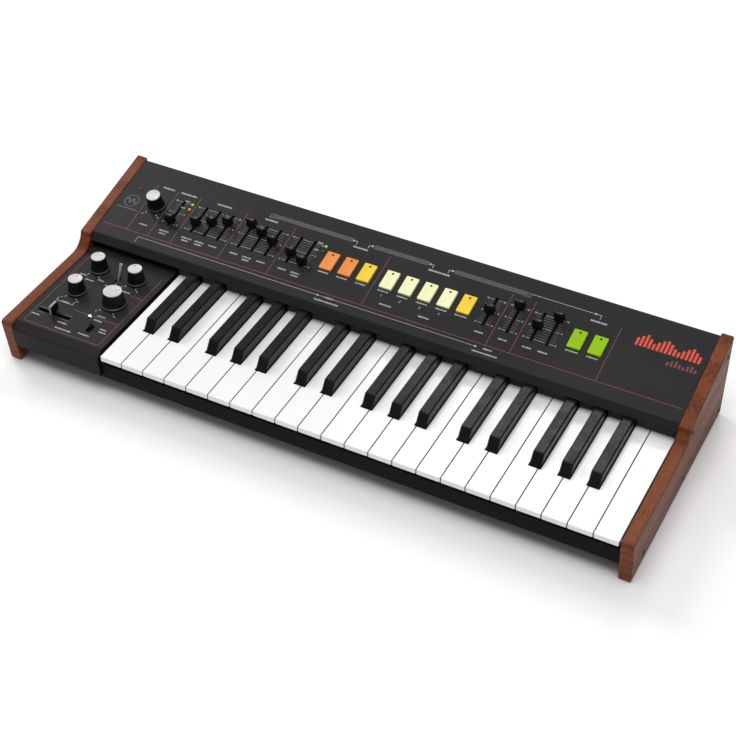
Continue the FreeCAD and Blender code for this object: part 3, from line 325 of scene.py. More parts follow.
def moulded(name, colour, low_rough, high_rough, texture=1900.0, depth=0.00004, tint=0.85, gloss=0.5):
    """Spark-textured moulded plastic with slight colour and gloss variation."""
    g = Graph(name)
    spark = g.noise(texture, 2.0)
    g.clouded(g.noise(60.0, 4.0), colour, tint)
    g.rough(g.noise(130.0, 4.0), low_rough, high_rough)
    return g.bump((spark, 0.3, depth)).set(Specular_IOR_Level=gloss).material


def ink(name, colour):
    """Silk-screened ink: even colour that thins out a little here and there."""
    g = Graph(name)
    g.clouded(g.noise(700.0, 3.0), colour, 0.72, 0.4, 0.75)
    g.rough(g.noise(900.0, 2.0), 0.42, 0.6, 0.3)
    return g.bump((g.noise(2600.0, 1.0), 0.2, 0.00002)).material


def bare_metal(name, colour, low_rough, high_rough):
    """Plated or turned metal with fine directional scratches."""
    g = Graph(name)
    lines = g.noise(1.0, 3.0, g.stretched((60.0, 1800.0, 1800.0)))
    g.clouded(g.noise(48.0, 4.0), colour, 0.8)
    g.rough(lines, low_rough, high_rough, 0.3)
    return g.bump((lines, 0.15, 0.00003)).set(Metallic=1.0).material


def circuit_board(name):
    """Green solder mask with tracks; what stands above the sloping board is dark plastic."""
    g = Graph(name)
    tracks = g.node("TexVoronoi", {"Scale": 420.0}, feature="DISTANCE_TO_EDGE", distance="MANHATTAN")
    g.join(g.place, tracks, "Vector")
    lines = g.ramp(tracks.outputs["Distance"], (0.05, 1.0), (0.09, 0.0))
    green = g.mix(lines, (0.012, 0.11, 0.045), (0.03, 0.2, 0.075))
    height = g.node("VectorMath", operation="DOT_PRODUCT")
    g.join(g.place, height, 0)
    height.inputs[1].default_value = panel.out
    board_top = panel.at(0, 0, -12.9).dot(panel.out)
    above = g.math("GREATER_THAN", height.outputs["Value"], board_top)
    g.colour(g.mix(above, green, (0.012, 0.012, 0.013)))
    g.rough(g.noise(300.0, 3.0), 0.32, 0.5, 0.3)
    return g.bump((lines, 0.3, 0.00004)).material


def felt(name, colour):
    """Matted fibres, lighter where they stand up."""
    g = Graph(name)
    fibres = g.noise(2200.0, 4.0, roughness=0.8, distortion=1.5)
    lighter = tuple(min(1.0, channel * 2.2 + 0.004) for channel in colour)
    g.colour(g.mix(g.patches(fibres), colour, lighter))
    g.rough(fibres, 0.85, 1.0, 0.3)
    return g.bump((fibres, 0.9, 0.0003)).set(Sheen_Weight=0.4, Sheen_Roughness=0.5).material


def light_lens(name, colour, glow):
    """A diffused signal light; the fainter its glow, the more it looks switched off."""
    g = Graph(name)
    g.clouded(g.noise(700.0, 2.0), colour, 0.75)
    g.rough(g.noise(900.0, 2.0), 0.12, 0.24, 0.3)
    g.set(Emission_Color=(*colour, 1.0), Emission_Strength=glow, Coat_Weight=0.5)
    return g.material


left_wood = walnut("walnut_left", (0.31, 0.0, 0.12))
right_wood = walnut("walnut_right", (0.0, 0.05, 0.0))
paint = powder_coat("black_powder_coat", 0.11)
case_paint = powder_coat("black_case_coat", 0.05)
white_plastic = key_plastic(
    "white_key_gloss", (0.9, 0.9, 0.89), (0.86, 0.86, 0.845), 0.16, 0.3, 0.0004, 0.5, True
)
black_plastic = key_plastic(
    "black_key_satin", (0.0045, 0.0045, 0.0048), (0.0085, 0.0085, 0.009), 0.24, 0.38, 0.0002,
    0.17, False,
)
control_black = moulded("control_black", (0.006, 0.006, 0.0064), 0.3, 0.46, gloss=0.22)
control_white = moulded("control_white", (0.64, 0.64, 0.64), 0.3, 0.45)
pointer_grey = moulded("pointer_grey", (0.3, 0.3, 0.3), 0.4, 0.5)
# Grey for the painted highlight round each knob's skirt, and for the real line across each fader cap.
rim_highlight_and_line_grey = moulded("rim_highlight_and_cap_line_material", (0.11, 0.11, 0.11), 0.25, 0.4)
paddle_grey = moulded("paddle_grey", (0.28, 0.28, 0.29), 0.32, 0.48)
orange = moulded("button_orange", (0.82, 0.265, 0.045), 0.32, 0.46, tint=0.93, gloss=0.35)
yellow = moulded("button_yellow", (0.9, 0.625, 0.036), 0.32, 0.46, tint=0.93, gloss=0.35)
cream = moulded("button_cream", (0.87, 0.88, 0.52), 0.32, 0.46, tint=0.95, gloss=0.35)
green = moulded("button_green", (0.28, 0.53, 0.002), 0.34, 0.48, tint=0.93, gloss=0.16)
red_ink = ink("ink_red", (0.24, 0.03, 0.028))
bright_red_ink = ink("ink_bright_red", (0.72, 0.055, 0.022))
dim_red_ink = ink("ink_dim_red", (0.19, 0.025, 0.02))
white_ink = ink("ink_white", (0.52, 0.52, 0.51))
grey_ink = ink("ink_grey", (0.16, 0.16, 0.16))
steel = bare_metal("plated_steel", (0.5, 0.5, 0.49), 0.3, 0.5)
bright = bare_metal("bright_nickel", (0.82, 0.82, 0.83), 0.24, 0.38)
oxide = bare_metal("black_oxide", (0.05, 0.047, 0.044), 0.34, 0.52)
brass = bare_metal("brass_contact", (0.7, 0.5, 0.2), 0.25, 0.4)
rubber = moulded("foot_rubber", (0.013, 0.013, 0.013), 0.7, 0.85, 900.0, 0.0001)
black_felt = felt("black_felt", (0.006, 0.006, 0.0065))
boards = circuit_board("circuit_board")


# ---------- mesh helpers
def polar(radius, angle):
    return radius * math.cos(angle), radius * math.sin(angle)


def circle(radius, count=36):
    return [polar(radius, 2 * math.pi * i / count) for i in range(count)]


def hexagon(radius, count=36):
    """A hexagon with as many points as a circle, so that the two can be skinned together."""
    points = []
    for i in range(count):
        angle = 2 * math.pi * i / count
        size = radius * math.cos(math.pi / 6) / math.cos(angle % (math.pi / 3) - math.pi / 6)
        points.append(polar(size, angle))
    return points


def rectangle(width, height, across=0.0, up=0.0):
    left, right = across - width / 2, across + width / 2
    low, high = up - height / 2, up + height / 2
    return [(left, low), (right, low), (right, high), (left, high)]


def rounded_box(width, depth, corner, steps=5):
    """A rectangle with round corners, as (across, up) points."""
    points = []
    for quarter, (side_x, side_y) in enumerate(((1, 1), (-1, 1), (-1, -1), (1, -1))):
        middle_x, middle_y = side_x * (width / 2 - corner), side_y * (depth / 2 - corner)
        for step in range(steps + 1):
            angle = (quarter + step / steps) * math.pi / 2
            points.append((middle_x + corner * math.cos(angle), middle_y + corner * math.sin(angle)))
    return points


def ring(face, points, out):
    return [face.at(across, up, out) for across, up in points]


def loft(mesh, rings, material=0, wrap=False):
    """Skin a stack of equal rings; the ends are capped unless the last joins the first."""
    rows = [[mesh.verts.new(point) for point in points] for points in rings]
    count = len(rows[0])
    outlines = []
    for low, high in zip(rows, rows[1:] + (rows[:1] if wrap else [])):
        for i in range(count):
            j = (i + 1) % count
            outlines.append((low[i], low[j], high[j], high[i]))
    if not wrap:
        outlines += [rows[0][::-1], rows[-1]]
    for outline in outlines:
        mesh.faces.new(outline).material_index = material


def prism(mesh, face, points, low, high, material=0):
    """An outline pushed out from one height to another."""
    loft(mesh, [ring(face, points, low), ring(face, points, high)], material)


def turned(mesh, face, profile, count=40, material=0, wrap=False):
    """A turned shape about the face's normal; the profile is (radius, out) points."""
    rings = [ring(face, circle(radius, count), out) for radius, out in profile]
    loft(mesh, rings, material, wrap)


def sleeve(mesh, face, profile, count=40, material=0):
    """A turned ring, open through its middle."""
    turned(mesh, face, profile, count, material, True)


def linked(name, mesh, materials):
    """Turn a bmesh into an object in the scene."""
    data = bpy.data.meshes.new(name)
    mesh.to_mesh(data)
    mesh.free()
    for material in materials:
        data.materials.append(material)
    made = bpy.data.objects.new(name, data)
    scene.collection.objects.link(made)
    return made


def finished(name, mesh, materials, body, crease=35.0):
    """Turn a bmesh into a smooth-shaded piece that rides on a body."""
    bmesh.ops.recalc_face_normals(mesh, faces=mesh.faces)
    made = linked(name, mesh, materials)
    made.data.shade_smooth()
    made.data.set_sharp_from_angle(angle=math.radians(crease))
    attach(made, body)
    return made


# ---------- printing
class Print:
    """Printed marks on a face, collected in one piece of thin raised ink."""

    def __init__(self, face):
        self.face = face
        self.mesh = bmesh.new()

    def patch(self, points):
        prism(self.mesh, self.face, points, -INK / 2, INK)

    def bar(self, across, up, width, height):
        self.patch(rectangle(width, height, across, up))

    def stroke(self, points, width):
        """A line of constant width through some points, mitred at its corners."""
        path = [Vector(point) for point in points]
        rings = []
        for i, here in enumerate(path):
            before = (here - path[i - 1]).normalized() if i else None
            after = (path[i + 1] - here).normalized() if i + 1 < len(path) else None
            first, second = before or after, after or before
            side = Vector((-first.y - second.y, first.x + second.x)).normalized()
            reach = width / 2 / max(0.3, side.dot(Vector((-first.y, first.x))))
            left, right = here + side * reach, here - side * reach
            section = ((left, -INK / 2), (right, -INK / 2), (right, INK), (left, INK))
            rings.append([self.face.at(*edge, out) for edge, out in section])
        loft(self.mesh, rings)

    def arrow(self, across, up, size, toward=(1, 0)):
        """A small filled arrowhead whose tip points toward a direction."""
        ahead, side = Vector(toward) * size, Vector((-toward[1], toward[0])) * size * 0.55
        middle = Vector((across, up))
        self.patch([middle + ahead, middle + side, middle - side])

    def words(self, across, up, width, height=1.6):
        """A row of small blocks in place of lettering, centred on a place."""
        drawn = random.Random(round(across * 31 + up * 17 + width * 7))
        position = across - width / 2
        while position < across + width / 2 - 0.5:
            block = drawn.choice((0.45, 0.7, 0.7, 0.95))
            self.bar(position + block / 2, up, block, height * drawn.choice((1.0, 1.0, 0.8)))
            position += block + drawn.choice((0.4, 0.4, 0.55))

    def number(self, across, up, text, height=1.7):
        """Plain figures drawn with strokes, centred on a place."""
        step = height * 0.78
        left = across - step * (len(text) - 1) / 2
        for index, figure in enumerate(text):
            for path in FIGURES[figure]:
                points = [
                    (left + index * step + (x - 0.5) * height * 0.5, up + (y - 0.5) * height)
                    for x, y in path
                ]
                self.stroke(points, height * 0.17)

    def finished(self, name, material):
        finished(name, self.mesh, [material], CASE)


FIGURES = {
    "0": [[(0.5, 1), (0, 0.8), (0, 0.2), (0.5, 0), (1, 0.2), (1, 0.8), (0.5, 1)]],
    "1": [[(0.2, 0.75), (0.6, 1), (0.6, 0)]],
    "2": [[(0, 0.8), (0.5, 1), (1, 0.75), (0, 0), (1, 0)]],
    "3": [[(0, 1), (1, 1), (0.4, 0.6), (1, 0.35), (0.5, 0), (0, 0.15)]],
    "4": [[(0.8, 0), (0.8, 1), (0, 0.3), (1, 0.3)]],
    "5": [[(1, 1), (0.1, 1), (0, 0.55), (0.7, 0.6), (1, 0.3), (0.5, 0), (0, 0.1)]],
}

# Places on the panel: section dividers, then the middle and width of each section's name.
DIVIDERS = [-278.5, -253.6, -227.3, -172.5, -117.6, -13.5, 115.5, 139.5, 223.7]
SECTION_NAMES = [
    (-265.1, 13.5), (-241.3, 18.5), (-199.6, 16.5), (-144.7, 15.0), (-45.5, 16.0), (39.0, 22.0),
    (201.8, 15.5),
]
TRAVEL_LOW, TRAVEL_HIGH = 42.2, 72.2  # a fader's lowest and highest mark
LEVELS = 10
BASE_LINE, THIN_LINE = 19.3, 15.05  # the long red line and the white one below it
ROUTE_LINE = 89.5  # the row of arrows above the sections
RED_LINE = 0.6


def fader_places():
    """Each fader's place along the panel, from left to right."""
    nodes = [node for node in frame["nodes"] if node.startswith("fader_caps")]
    return sorted(middle_of(*box)[0] for node in nodes for _, *box in seats(panel, node))


def button_places():
    """Each button's middle on the panel."""
    return [middle_of(*box) for _, *box in seats(panel, "button_caps")]


def red_lines():
    """Section frames on the panel and round the pod."""
    lines = Print(panel)
    half = panel.place_of(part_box("top_panel")[1])[0] - 3
    lines.bar(0, BASE_LINE, 2 * half, RED_LINE)
    for across in DIVIDERS:
        lines.stroke([(across, BASE_LINE), (across, 84.0)], RED_LINE)
    lines.finished("panel_print_red", red_ink)
    frame_line = Print(pod)
    left, right, low, high, corner = -303.0, -217.3, 9.4, 121.0, 2.0
    frame_line.stroke([
        (left, high), (left, low + corner), (left + 0.6, low + 0.6), (left + corner, low),
        (right - corner, low), (right - 0.6, low + 0.6), (right, low + corner), (right, high),
    ], RED_LINE)
    frame_line.stroke([(-232.0, 85.5), (right, 85.5)], RED_LINE)
    frame_line.stroke([(-268.0, 43.0), (right, 43.0)], RED_LINE)
    frame_line.finished("pod_print_red", red_ink)


def fader_scales(marks, fine):
    """Ticks beside each slot, joined up between neighbours, with a figure at each end."""
    places = fader_places()
    spacing = (TRAVEL_HIGH - TRAVEL_LOW) / LEVELS
    for index, across in enumerate(places):
        for side in (-1, 1):
            other = index + side
            neighbour = 0 <= other < len(places) and abs(places[other] - across) < 16
            if neighbour and side < 0:
                continue
            reach = abs(places[other] - across) - 4.4 if neighbour else 4.2
            middle = across + side * (2.2 + reach / 2)
            for level in range(LEVELS + 1):
                up = TRAVEL_LOW + spacing * level
                if level not in (0, LEVELS // 2, LEVELS):
                    fine.bar(middle, up, reach, 0.3)
                    continue
                marks.bar(middle, up, reach, 0.34)
                if not neighbour:
                    marks.number(across + side * 8.4, up, str(level))


def panel_words(marks):
    """Names of the sections, faders, buttons and lights."""
    for across, width in SECTION_NAMES:
        marks.words(across, 82.7, width, 2.0)
    marks.words(-265.3, 30.9, 9.0)
    two_line = {0, 1, 2, 5, 8}
    for index, across in enumerate(fader_places()):
        marks.words(across, 31.0, 10.5 if index in two_line else 9.0)
        if index in two_line:
            marks.words(across, 27.6, 8.0)
    figures = iter("1234")
    for index, (across, up) in enumerate(button_places()):
        marks.words(across, up - 14.0, 12.0)
        if 3 <= index <= 6:
            marks.number(across, up - 19.6, next(figures), 2.2)
    marks.words(8.4, 27.5, 12.6)
    marks.words(48.8, 27.5, 11.2)
    for across in (-238.3, -85.5):
        marks.words(across, 74.6, 5.5, 1.5)
        marks.words(across, 65.4, 4.6, 1.5)


def routing_lines(marks, fine):
    """Signal-path lines above the sections and along the front edge of the panel."""
    low, high, count = 87.4, 91.6, 5
    width = 0.42
    for number in range(count):
        up = low + (high - low) * number / (count - 1)
        start = -145.5 - number * 1.05
        fine.stroke([(start, 85.8), (start, up - 1.4), (start + 1.2, up), (-57.4, up)], width)
        fine.stroke([(-33.5, up), (25.6, up)], width)
        drop = 131.6 - (count - 1 - number) * 1.5
        fine.stroke([(52.5, up), (drop - 1.2, up), (drop, up - 1.2), (drop, low - 1.6)], width)
    for arrive, leave, fall, rise, onward, depart in (
        (-57.0, -55.0, -52.0, -39.0, -36.0, -36.4), (26.2, 28.4, 30.5, 47.0, 50.2, 49.6),
    ):
        marks.arrow(arrive, ROUTE_LINE, 2.6)
        marks.stroke([(leave, ROUTE_LINE), (fall, ROUTE_LINE), (fall, 85.6)], 0.5)
        marks.stroke([(rise, 85.6), (rise, ROUTE_LINE), (onward, ROUTE_LINE)], 0.5)
        marks.arrow(depart, ROUTE_LINE, 2.6)
    last = 90.9
    marks.stroke([(131.6, last), (195.5, last)], 0.4)
    marks.arrow(195.3, last, 2.6)
    marks.stroke([(198.0, last), (201.6, last), (201.6, 86.2)], 0.5)
    marks.stroke([(-261.5, 7.8), (-261.5, THIN_LINE), (107.0, THIN_LINE)], 0.34)
    for across in (-58.4, 106.8):
        marks.arrow(across, THIN_LINE, 2.4)
        marks.words(across + 12.8, THIN_LINE, 8.6)
        marks.words(across + 12.4, 9.8, 25.8)


def emblem(marks):
    """A plain wave in a ring, at the panel's left end, with a line under it."""
    centre = Vector((-293.5, 54.8))
    edge = circle(7.6, 40)
    marks.stroke([centre + Vector(point) for point in edge + edge[:1]], 0.5)
    wave = [(x / 10, 3.0 * math.sin(x / 10 * 1.1)) for x in range(-57, 58, 6)]
    marks.stroke([centre + Vector(point) for point in wave], 0.7)
    marks.stroke([(-305.0, 44.4), (-281.5, 44.4)], 0.7)


def level_bars():
    """Rows of bars at the panel's right end, like a bar graph of sound levels."""
    large = [9, 12, 14.6, 11, 7, 10, 13, 14.6, 12, 8, 6, 9, 12, 14.6, 11, 8]
    small = [4, 6, 7.2, 5, 3.5, 6, 7.2, 4.5]
    for name, material, start, pitch, base, width, heights in (
        ("level_bars_print", bright_red_ink, 242.25, 3.95, 71.2, 2.5, large),
        ("level_bars_small_print", dim_red_ink, 276.0, 3.75, 59.2, 2.1, small),
    ):
        bars = Print(panel)
        for index, height in enumerate(heights):
            bars.bar(start + index * pitch, base + height / 2, width, height)
        bars.finished(name, material)


def panel_printing():
    """All the printing on the panel but its red frames."""
    marks, fine = Print(panel), Print(panel)
    fader_scales(marks, fine)
    panel_words(marks)
    routing_lines(marks, fine)
    emblem(fine)
    across, up, _ = panel.place_of(volume_spot)
    knob_ticks(marks, across, up, 11.4)
    marks.finished("panel_print_white", white_ink)
    fine.finished("panel_print_grey", grey_ink)
    level_bars()


def knob_ticks(marks, across, up, reach):
    """A tick and a figure at each end of a knob's turn."""
    for side, text in ((-1, "0"), (1, "10")):
        direction = Vector(polar(1, math.radians(-90 + side * 30)))
        centre = Vector((across, up))
        marks.stroke([centre + direction * reach, centre + direction * (reach + 2.0)], 0.7)
        figure = centre + direction * (reach + 3.9)
        marks.number(figure.x + side * 1.2, figure.y, text, 1.7)


def pod_printing():
    """Marks and names round the pod's controls."""
    marks, fine = Print(pod), Print(pod)
    for name in ("rear_left", "rear_right", "front_left", "large"):
        spot = joints[f"knob_pod_{name}_turn"]["pos_m"]
        across, up, _ = pod.place_of(spot)
        reach = 14.4 if name == "large" else 11.2
        knob_ticks(marks, across, up, reach)
        marks.words(across, up - reach - 7.2, 9.5)
    marks.stroke([(-292.5, 53.5), (-292.5, 48.4), (-274.0, 48.4), (-274.0, 53.5)], 0.5)
    for across, up, width in (
        (-291.5, 93.3, 8.0), (-270.5, 92.6, 8.0), (-259.0, 88.6, 7.5), (-298.0, 21.7, 10.0),
        (-267.0, 21.7, 10.5), (-261.0, 13.6, 17.0), (-238.3, 39.6, 8.0), (-225.5, 30.5, 7.5),
        (-224.5, 26.6, 7.5), (-238.6, 16.4, 12.0),
    ):
        marks.words(across, up, width)
    paddle_middle = -281.5
    for side in (-1, 1):
        for up in (33.4, 26.2):
            fine.bar(paddle_middle + side * 14.0, up, 9.0, 0.5)
    marks.finished("pod_print_white", white_ink)
    fine.finished("pod_print_grey", grey_ink)


# ---------- controls
def knob(node, joint_name, body, pointer):
    """A fluted black knob with a light top; pointer is where it points, in degrees from up."""
    low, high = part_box(node)
    skirt = (high.x - low.x) / MM / 2
    cap, flank = skirt * 0.726, skirt * 0.856
    joint = joints[joint_name]
    out = Vector(joint["axis"])
    face = Face(joint["pos_m"], ACROSS, out.cross(ACROSS)).moved(0, 0, 0, -pointer)
    count, flutes, flute_depth = 120, 24, 0.3
    flute_low, flute_steps = 4.6, 7
    skirt_top, cap_low, height = 2.2, KNOB_HEIGHT - 1.2, KNOB_HEIGHT

    def level(radius, out_at, share=0.0):
        """A ring of the knob; share is how deep the flutes are cut there."""
        points = []
        for i in range(count):
            angle = 2 * math.pi * i / count
            groove = max(0.0, math.cos(angle * flutes)) ** 0.6
            reach = radius - flute_depth * share * groove
            points.append(polar(reach, angle))
        return ring(face, points, out_at)

    profile = [
        (3.0, -6.0), (3.0, 0.6), (skirt - 0.4, 0.6), (skirt, 1.0), (skirt, skirt_top),
        (skirt - 0.4, skirt_top + 0.4), (flank + 0.6, 3.0), (flank + 0.1, 3.9),
        (flank, flute_low, 0.2),
    ]
    for step in range(1, flute_steps + 1):
        rise = step / flute_steps
        radius = flank + (cap + 0.25 - flank) * rise
        out_at = flute_low + (height - 2.3 - flute_low) * rise
        profile.append((radius, out_at, 1.0 if step < flute_steps else 0.6))
    profile += [
        (cap + 0.12, height - 1.5), (cap - 0.2, cap_low), (cap, height - 1.0),
        (cap, height - 0.35), (cap - 0.12, height - 0.1), (cap - 0.45, height),
        (cap - 1.0, height - 0.05), (cap - 1.25, height - 0.22), (cap * 0.5, height - 0.3),
        (0.4, height - 0.32),
    ]
    mesh = bmesh.new()
    loft(mesh, [level(*place) for place in profile])
    for made in mesh.faces:
        across, up, out_at = face.place_of(made.calc_center_median())
        if out_at > cap_low + 0.08:
            made.material_index = 1
        # Painted highlight: a grey ring on the skirt's bevel stands in for light catching the rim.
        elif skirt_top < out_at < skirt_top + 0.45 and math.hypot(across, up) > skirt - 0.5:
            made.material_index = 2
    start, end = cap * 0.35, cap - 1.1
    line = rectangle(0.6, end - start, 0, (start + end) / 2)
    prism(mesh, face, line, height - 0.4, height - 0.16, 3)
    piece = finished(
        f"{node}_moulding", mesh, [control_black, control_white, rim_highlight_and_line_grey, pointer_grey], body,
        40,
    )
    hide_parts(node)


def knobs():
    """The volume knob and the pod's four."""
    knob("volume_knob", "knob_volume_turn", "knob_volume", 10)
    for name, pointer in (("rear_left", 35), ("rear_right", -30), ("front_left", 0), ("large", 50)):
        knob(f"pod_knob_{name}", f"knob_pod_{name}_turn", f"knob_pod_{name}", pointer)


def fader_cap(name, face, low, high, body):
    """A tapered cap, dished on top for the finger, with a line across it."""
    half = (high[0] - low[0]) / 2
    foot, crest = (high[1] - low[1]) / 2, 1.9
    base, height = 0.9, high[2]
    steps = 18
    places = [-1 + 2 * step / steps for step in range(steps + 1)]
    mesh = bmesh.new()

    def top_at(place):
        """Height of the saddle at a place from -1 to 1 across the cap."""
        dip = 1.15 * max(0.0, 1 - (place / 0.78) ** 2)
        shoulder = 0.9 * max(0.0, abs(place) - 0.86) / 0.14
        return height - dip - shoulder * 0.5

    rings = []
    for place in places:
        squeeze = 0.25 if abs(place) == 1 else 0.0
        top = top_at(place)
        f, c = foot - squeeze, crest - squeeze
        outline = [
            (-f, base), (f, base), (f - 0.25, base + 1.6), (c + 0.35, top - 1.4), (c, top - 0.3),
            (c - 0.45, top), (0.45 - c, top), (-c, top - 0.3), (-c - 0.35, top - 1.4),
            (0.25 - f, base + 1.6),
        ]
        rings.append([face.at(half * place, up, out) for up, out in outline])
    loft(mesh, rings)
    line = [
        [face.at(half * place, up, top_at(place) + out) for up, out in rectangle(0.6, 0.1)]
        for place in places[1:-1]
    ]
    loft(mesh, line, 1)
    for side in (-1, 1):
        for rib in range(3):
            out = base + 3.0 + rib * 1.9
            share = (out - base) / (height - base)
            up = side * (foot - (foot - crest) * share)
            prism(mesh, face, rectangle(2 * half - 1.6, 0.32, 0, up), out - 0.3, out + 0.3)
    prism(mesh, face, rectangle(1.2, 4.4), low[2], base + 0.4, 2)
    return finished(name, mesh, [control_black, rim_highlight_and_line_grey, steel], body, 32)


def faders():
    """The fader caps, each group riding on its own body."""
    for level in ("low", "middle", "high", "top"):
        node = f"fader_caps_{level}"
        for index, (face, low, high) in enumerate(seats(panel, node)):
            piece = fader_cap(f"fader_cap_{level}_{index}", face, low, high, f"faders_{level}")
            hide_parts(node)


def button(name, face, size, rise, colour):
    """A soft-edged cap, dished on top, with a dark light window near its rear edge."""
    width, depth = size
    mesh = bmesh.new()

    def outline(inset, out):
        corner = max(0.35, 1.0 - inset)
        shape = rounded_box(width - 2 * inset, depth - 2 * inset, corner)
        return ring(face, shape, out)

    loft(mesh, [outline(0.0, -4.2)] + [
        outline(inset, rise - drop) for inset, drop in (
            (0.0, 0.75), (0.06, 0.38), (0.22, 0.14), (0.5, 0.0), (1.0, 0.03), (2.4, 0.18),
            (4.6, 0.27), (6.2, 0.3),
        )
    ])
    turned(
        mesh, face.moved(0, depth / 2 - 3.2, rise - 0.2),
        [(1.15, -0.5), (1.15, 0.12), (0.95, 0.22), (0.5, 0.3), (0.1, 0.32)], 20, 1,
    )
    prism(mesh, face, circle(1.7, 20), -7.6, -4.1)
    return finished(name, mesh, [colour, control_black], "buttons", 40)


def buttons():
    """The ten coloured buttons, from left to right."""
    colours = [orange, orange, yellow, cream, cream, cream, cream, yellow, green, green]
    for index, (face, low, high) in enumerate(seats(panel, "button_caps")):
        size = (high[0] - low[0], high[1] - low[1])
        piece = button(f"button_{index + 1}", face, size, high[2], colours[index])
        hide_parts("button_caps")


def lights():
    """The signal lights' lenses, five on the panel and one on the pod."""
    lit_green = light_lens("light_green_lit", (0.16, 0.55, 0.07), 0.55)
    lit_orange = light_lens("light_orange_lit", (0.85, 0.2, 0.03), 0.5)
    lit_white = light_lens("light_white_lit", (1.0, 1.0, 1.0), 1.6)
    dim_red = light_lens("light_red_dim", (0.16, 0.012, 0.01), 0.06)
    places = [
        (panel, -230.9, 72.0, lit_green), (panel, -230.9, 65.3, lit_orange),
        (panel, -78.1, 72.0, lit_green), (panel, -78.1, 65.3, dim_red),
        (panel, -293.0, 71.9, dim_red), (pod, -248.9, 41.9, lit_white),
    ]
    radius, shoulder, rise = 1.58, 0.35, 1.2
    angles = [math.radians(degrees) for degrees in range(15, 90, 15)]
    dome = [(radius, -0.6), (radius, shoulder)]
    dome += [(radius * math.cos(a), shoulder + rise * math.sin(a)) for a in angles]
    dome.append((0.06, shoulder + rise))
    for index, (face, across, up, material) in enumerate(places):
        mesh = bmesh.new()
        turned(mesh, face.moved(across, up), dome, 28)
        finished(f"signal_light_{index + 1}", mesh, [material], CASE)


def bend_paddle():
    """The upright paddle: dark sides, with a light strip over its front edge and top."""
    low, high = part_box("bend_paddle")
    joint = joints["bend_paddle_swing"]
    x, y, pivot = (value / MM for value in joint["pos_m"])
    front, back, roof = low.y / MM, high.y / MM, high.z / MM
    length = back - front
    height, thickness = 10.0, 3.4
    base = roof - height
    levels = [(0.0, 0.5), (0.35, 0.15), (0.9, 0.0), (8.8, 0.0), (9.6, 0.15), (height, 0.55)]
    blade = ground.moved(x, (front + back) / 2, base)
    mesh = bmesh.new()
    loft(mesh, [
        ring(blade, rounded_box(thickness - 2 * inset, length - 2 * inset, 1.0), rise)
        for rise, inset in levels
    ])
    side = Face((x * MM, 0, 0), (0, 1, 0), (0, 0, 1))
    strip = [
        (front - 0.25, base + 1.0), (front + 0.5, base + 1.0), (front + 0.8, roof - 0.7),
        (back - 1.0, roof - 0.4), (back - 1.0, roof + 0.3), (front + 0.6, roof + 0.3),
        (front - 0.1, roof - 0.3),
    ]
    prism(mesh, side, strip, -1.25, 1.25, 1)
    prism(mesh, ground.moved(x, y), rounded_box(5.0, 2.2, 0.6), pivot + 2.0, base + 0.6)
    hub = Face(joint["pos_m"], ACROSS, (0, 0, 1))
    sleeve(mesh, hub, [(1.6, -3), (4.0, -3), (4.0, 3), (1.6, 3)], 28)
    materials = [control_black, paddle_grey]
    piece = finished("bend_paddle_moulding", mesh, materials, "paddle", 40)
    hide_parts("bend_paddle")


def swung_bat(node, joint_name, body, half_hub, stations, material):
    """A tapered bat on a hub; each station is (share of its length, width, depth)."""
    joint = joints[joint_name]
    pivot = Vector(joint["pos_m"])
    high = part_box(node)[1]
    reach = Vector((0, high.y - pivot.y, high.z - pivot.z))
    reach.y -= stations[-2][2] / 2 * MM
    face = Face(pivot, -ACROSS, ACROSS.cross(reach))
    mesh = bmesh.new()
    loft(mesh, [
        ring(face, rounded_box(width, depth, 0.42 * depth, 4), share * reach.length / MM)
        for share, width, depth in stations
    ])
    hub = Face(pivot, (0, 1, 0), (0, 0, 1))
    section = [(1.6, -half_hub), (3.2, -half_hub), (3.2, half_hub), (1.6, half_hub)]
    sleeve(mesh, hub, section, 24)
    piece = finished(f"{node}_bat", mesh, [material], body, 40)
    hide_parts(node)


def pod_lever():
    """A slim bright lever that widens to a rounded tip."""
    swung_bat("pod_lever", "pod_lever_swing", "lever", 1.9, [
        (-0.02, 2.4, 2.6), (0.15, 2.2, 2.3), (0.4, 2.5, 2.0), (0.65, 3.1, 1.9), (0.88, 3.7, 1.9),
        (0.97, 3.8, 1.9), (0.99, 3.6, 1.7), (1.0, 3.0, 1.2),
    ], bright)


def pod_toggle():
    """A tapered black bat with a rounded top."""
    swung_bat("pod_toggle", "pod_toggle_switch", "toggle", 3.0, [
        (0.0, 3.2, 2.8), (0.5, 3.4, 2.9), (0.84, 4.0, 3.4), (0.93, 4.0, 3.4), (0.98, 3.4, 2.9),
        (1.0, 2.4, 2.0),
    ], control_black)


# ---------- case details
def screw_heads():
    """Dark pan heads with a hexagonal recess, in the cheeks."""
    for index, points in enumerate(solids("case_screws")):
        low, high = corners(points)
        side = 1 if low.x > 0 else -1
        centre = (low + high) / 2
        centre.x = high.x if side > 0 else low.x
        face = Face(centre, (0, side, 0), (0, 0, 1))
        radius = (high.y - low.y) / MM / 2
        outline = [
            (1.9, -9.0), (1.9, -1.8), (radius, -1.8), (radius, -0.7), (radius * 0.94, -0.25),
            (radius * 0.78, 0.0),
        ]
        recess = [(2.35, 0.05), (2.1, -0.1), (2.1, -1.3)]
        mesh = bmesh.new()
        loft(mesh, [
            *(ring(face, circle(size), out) for size, out in outline),
            *(ring(face, hexagon(size), out) for size, out in recess),
        ])
        piece = finished(f"cheek_screw_{index + 1}", mesh, [oxide], CASE)
        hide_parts("case_screws")


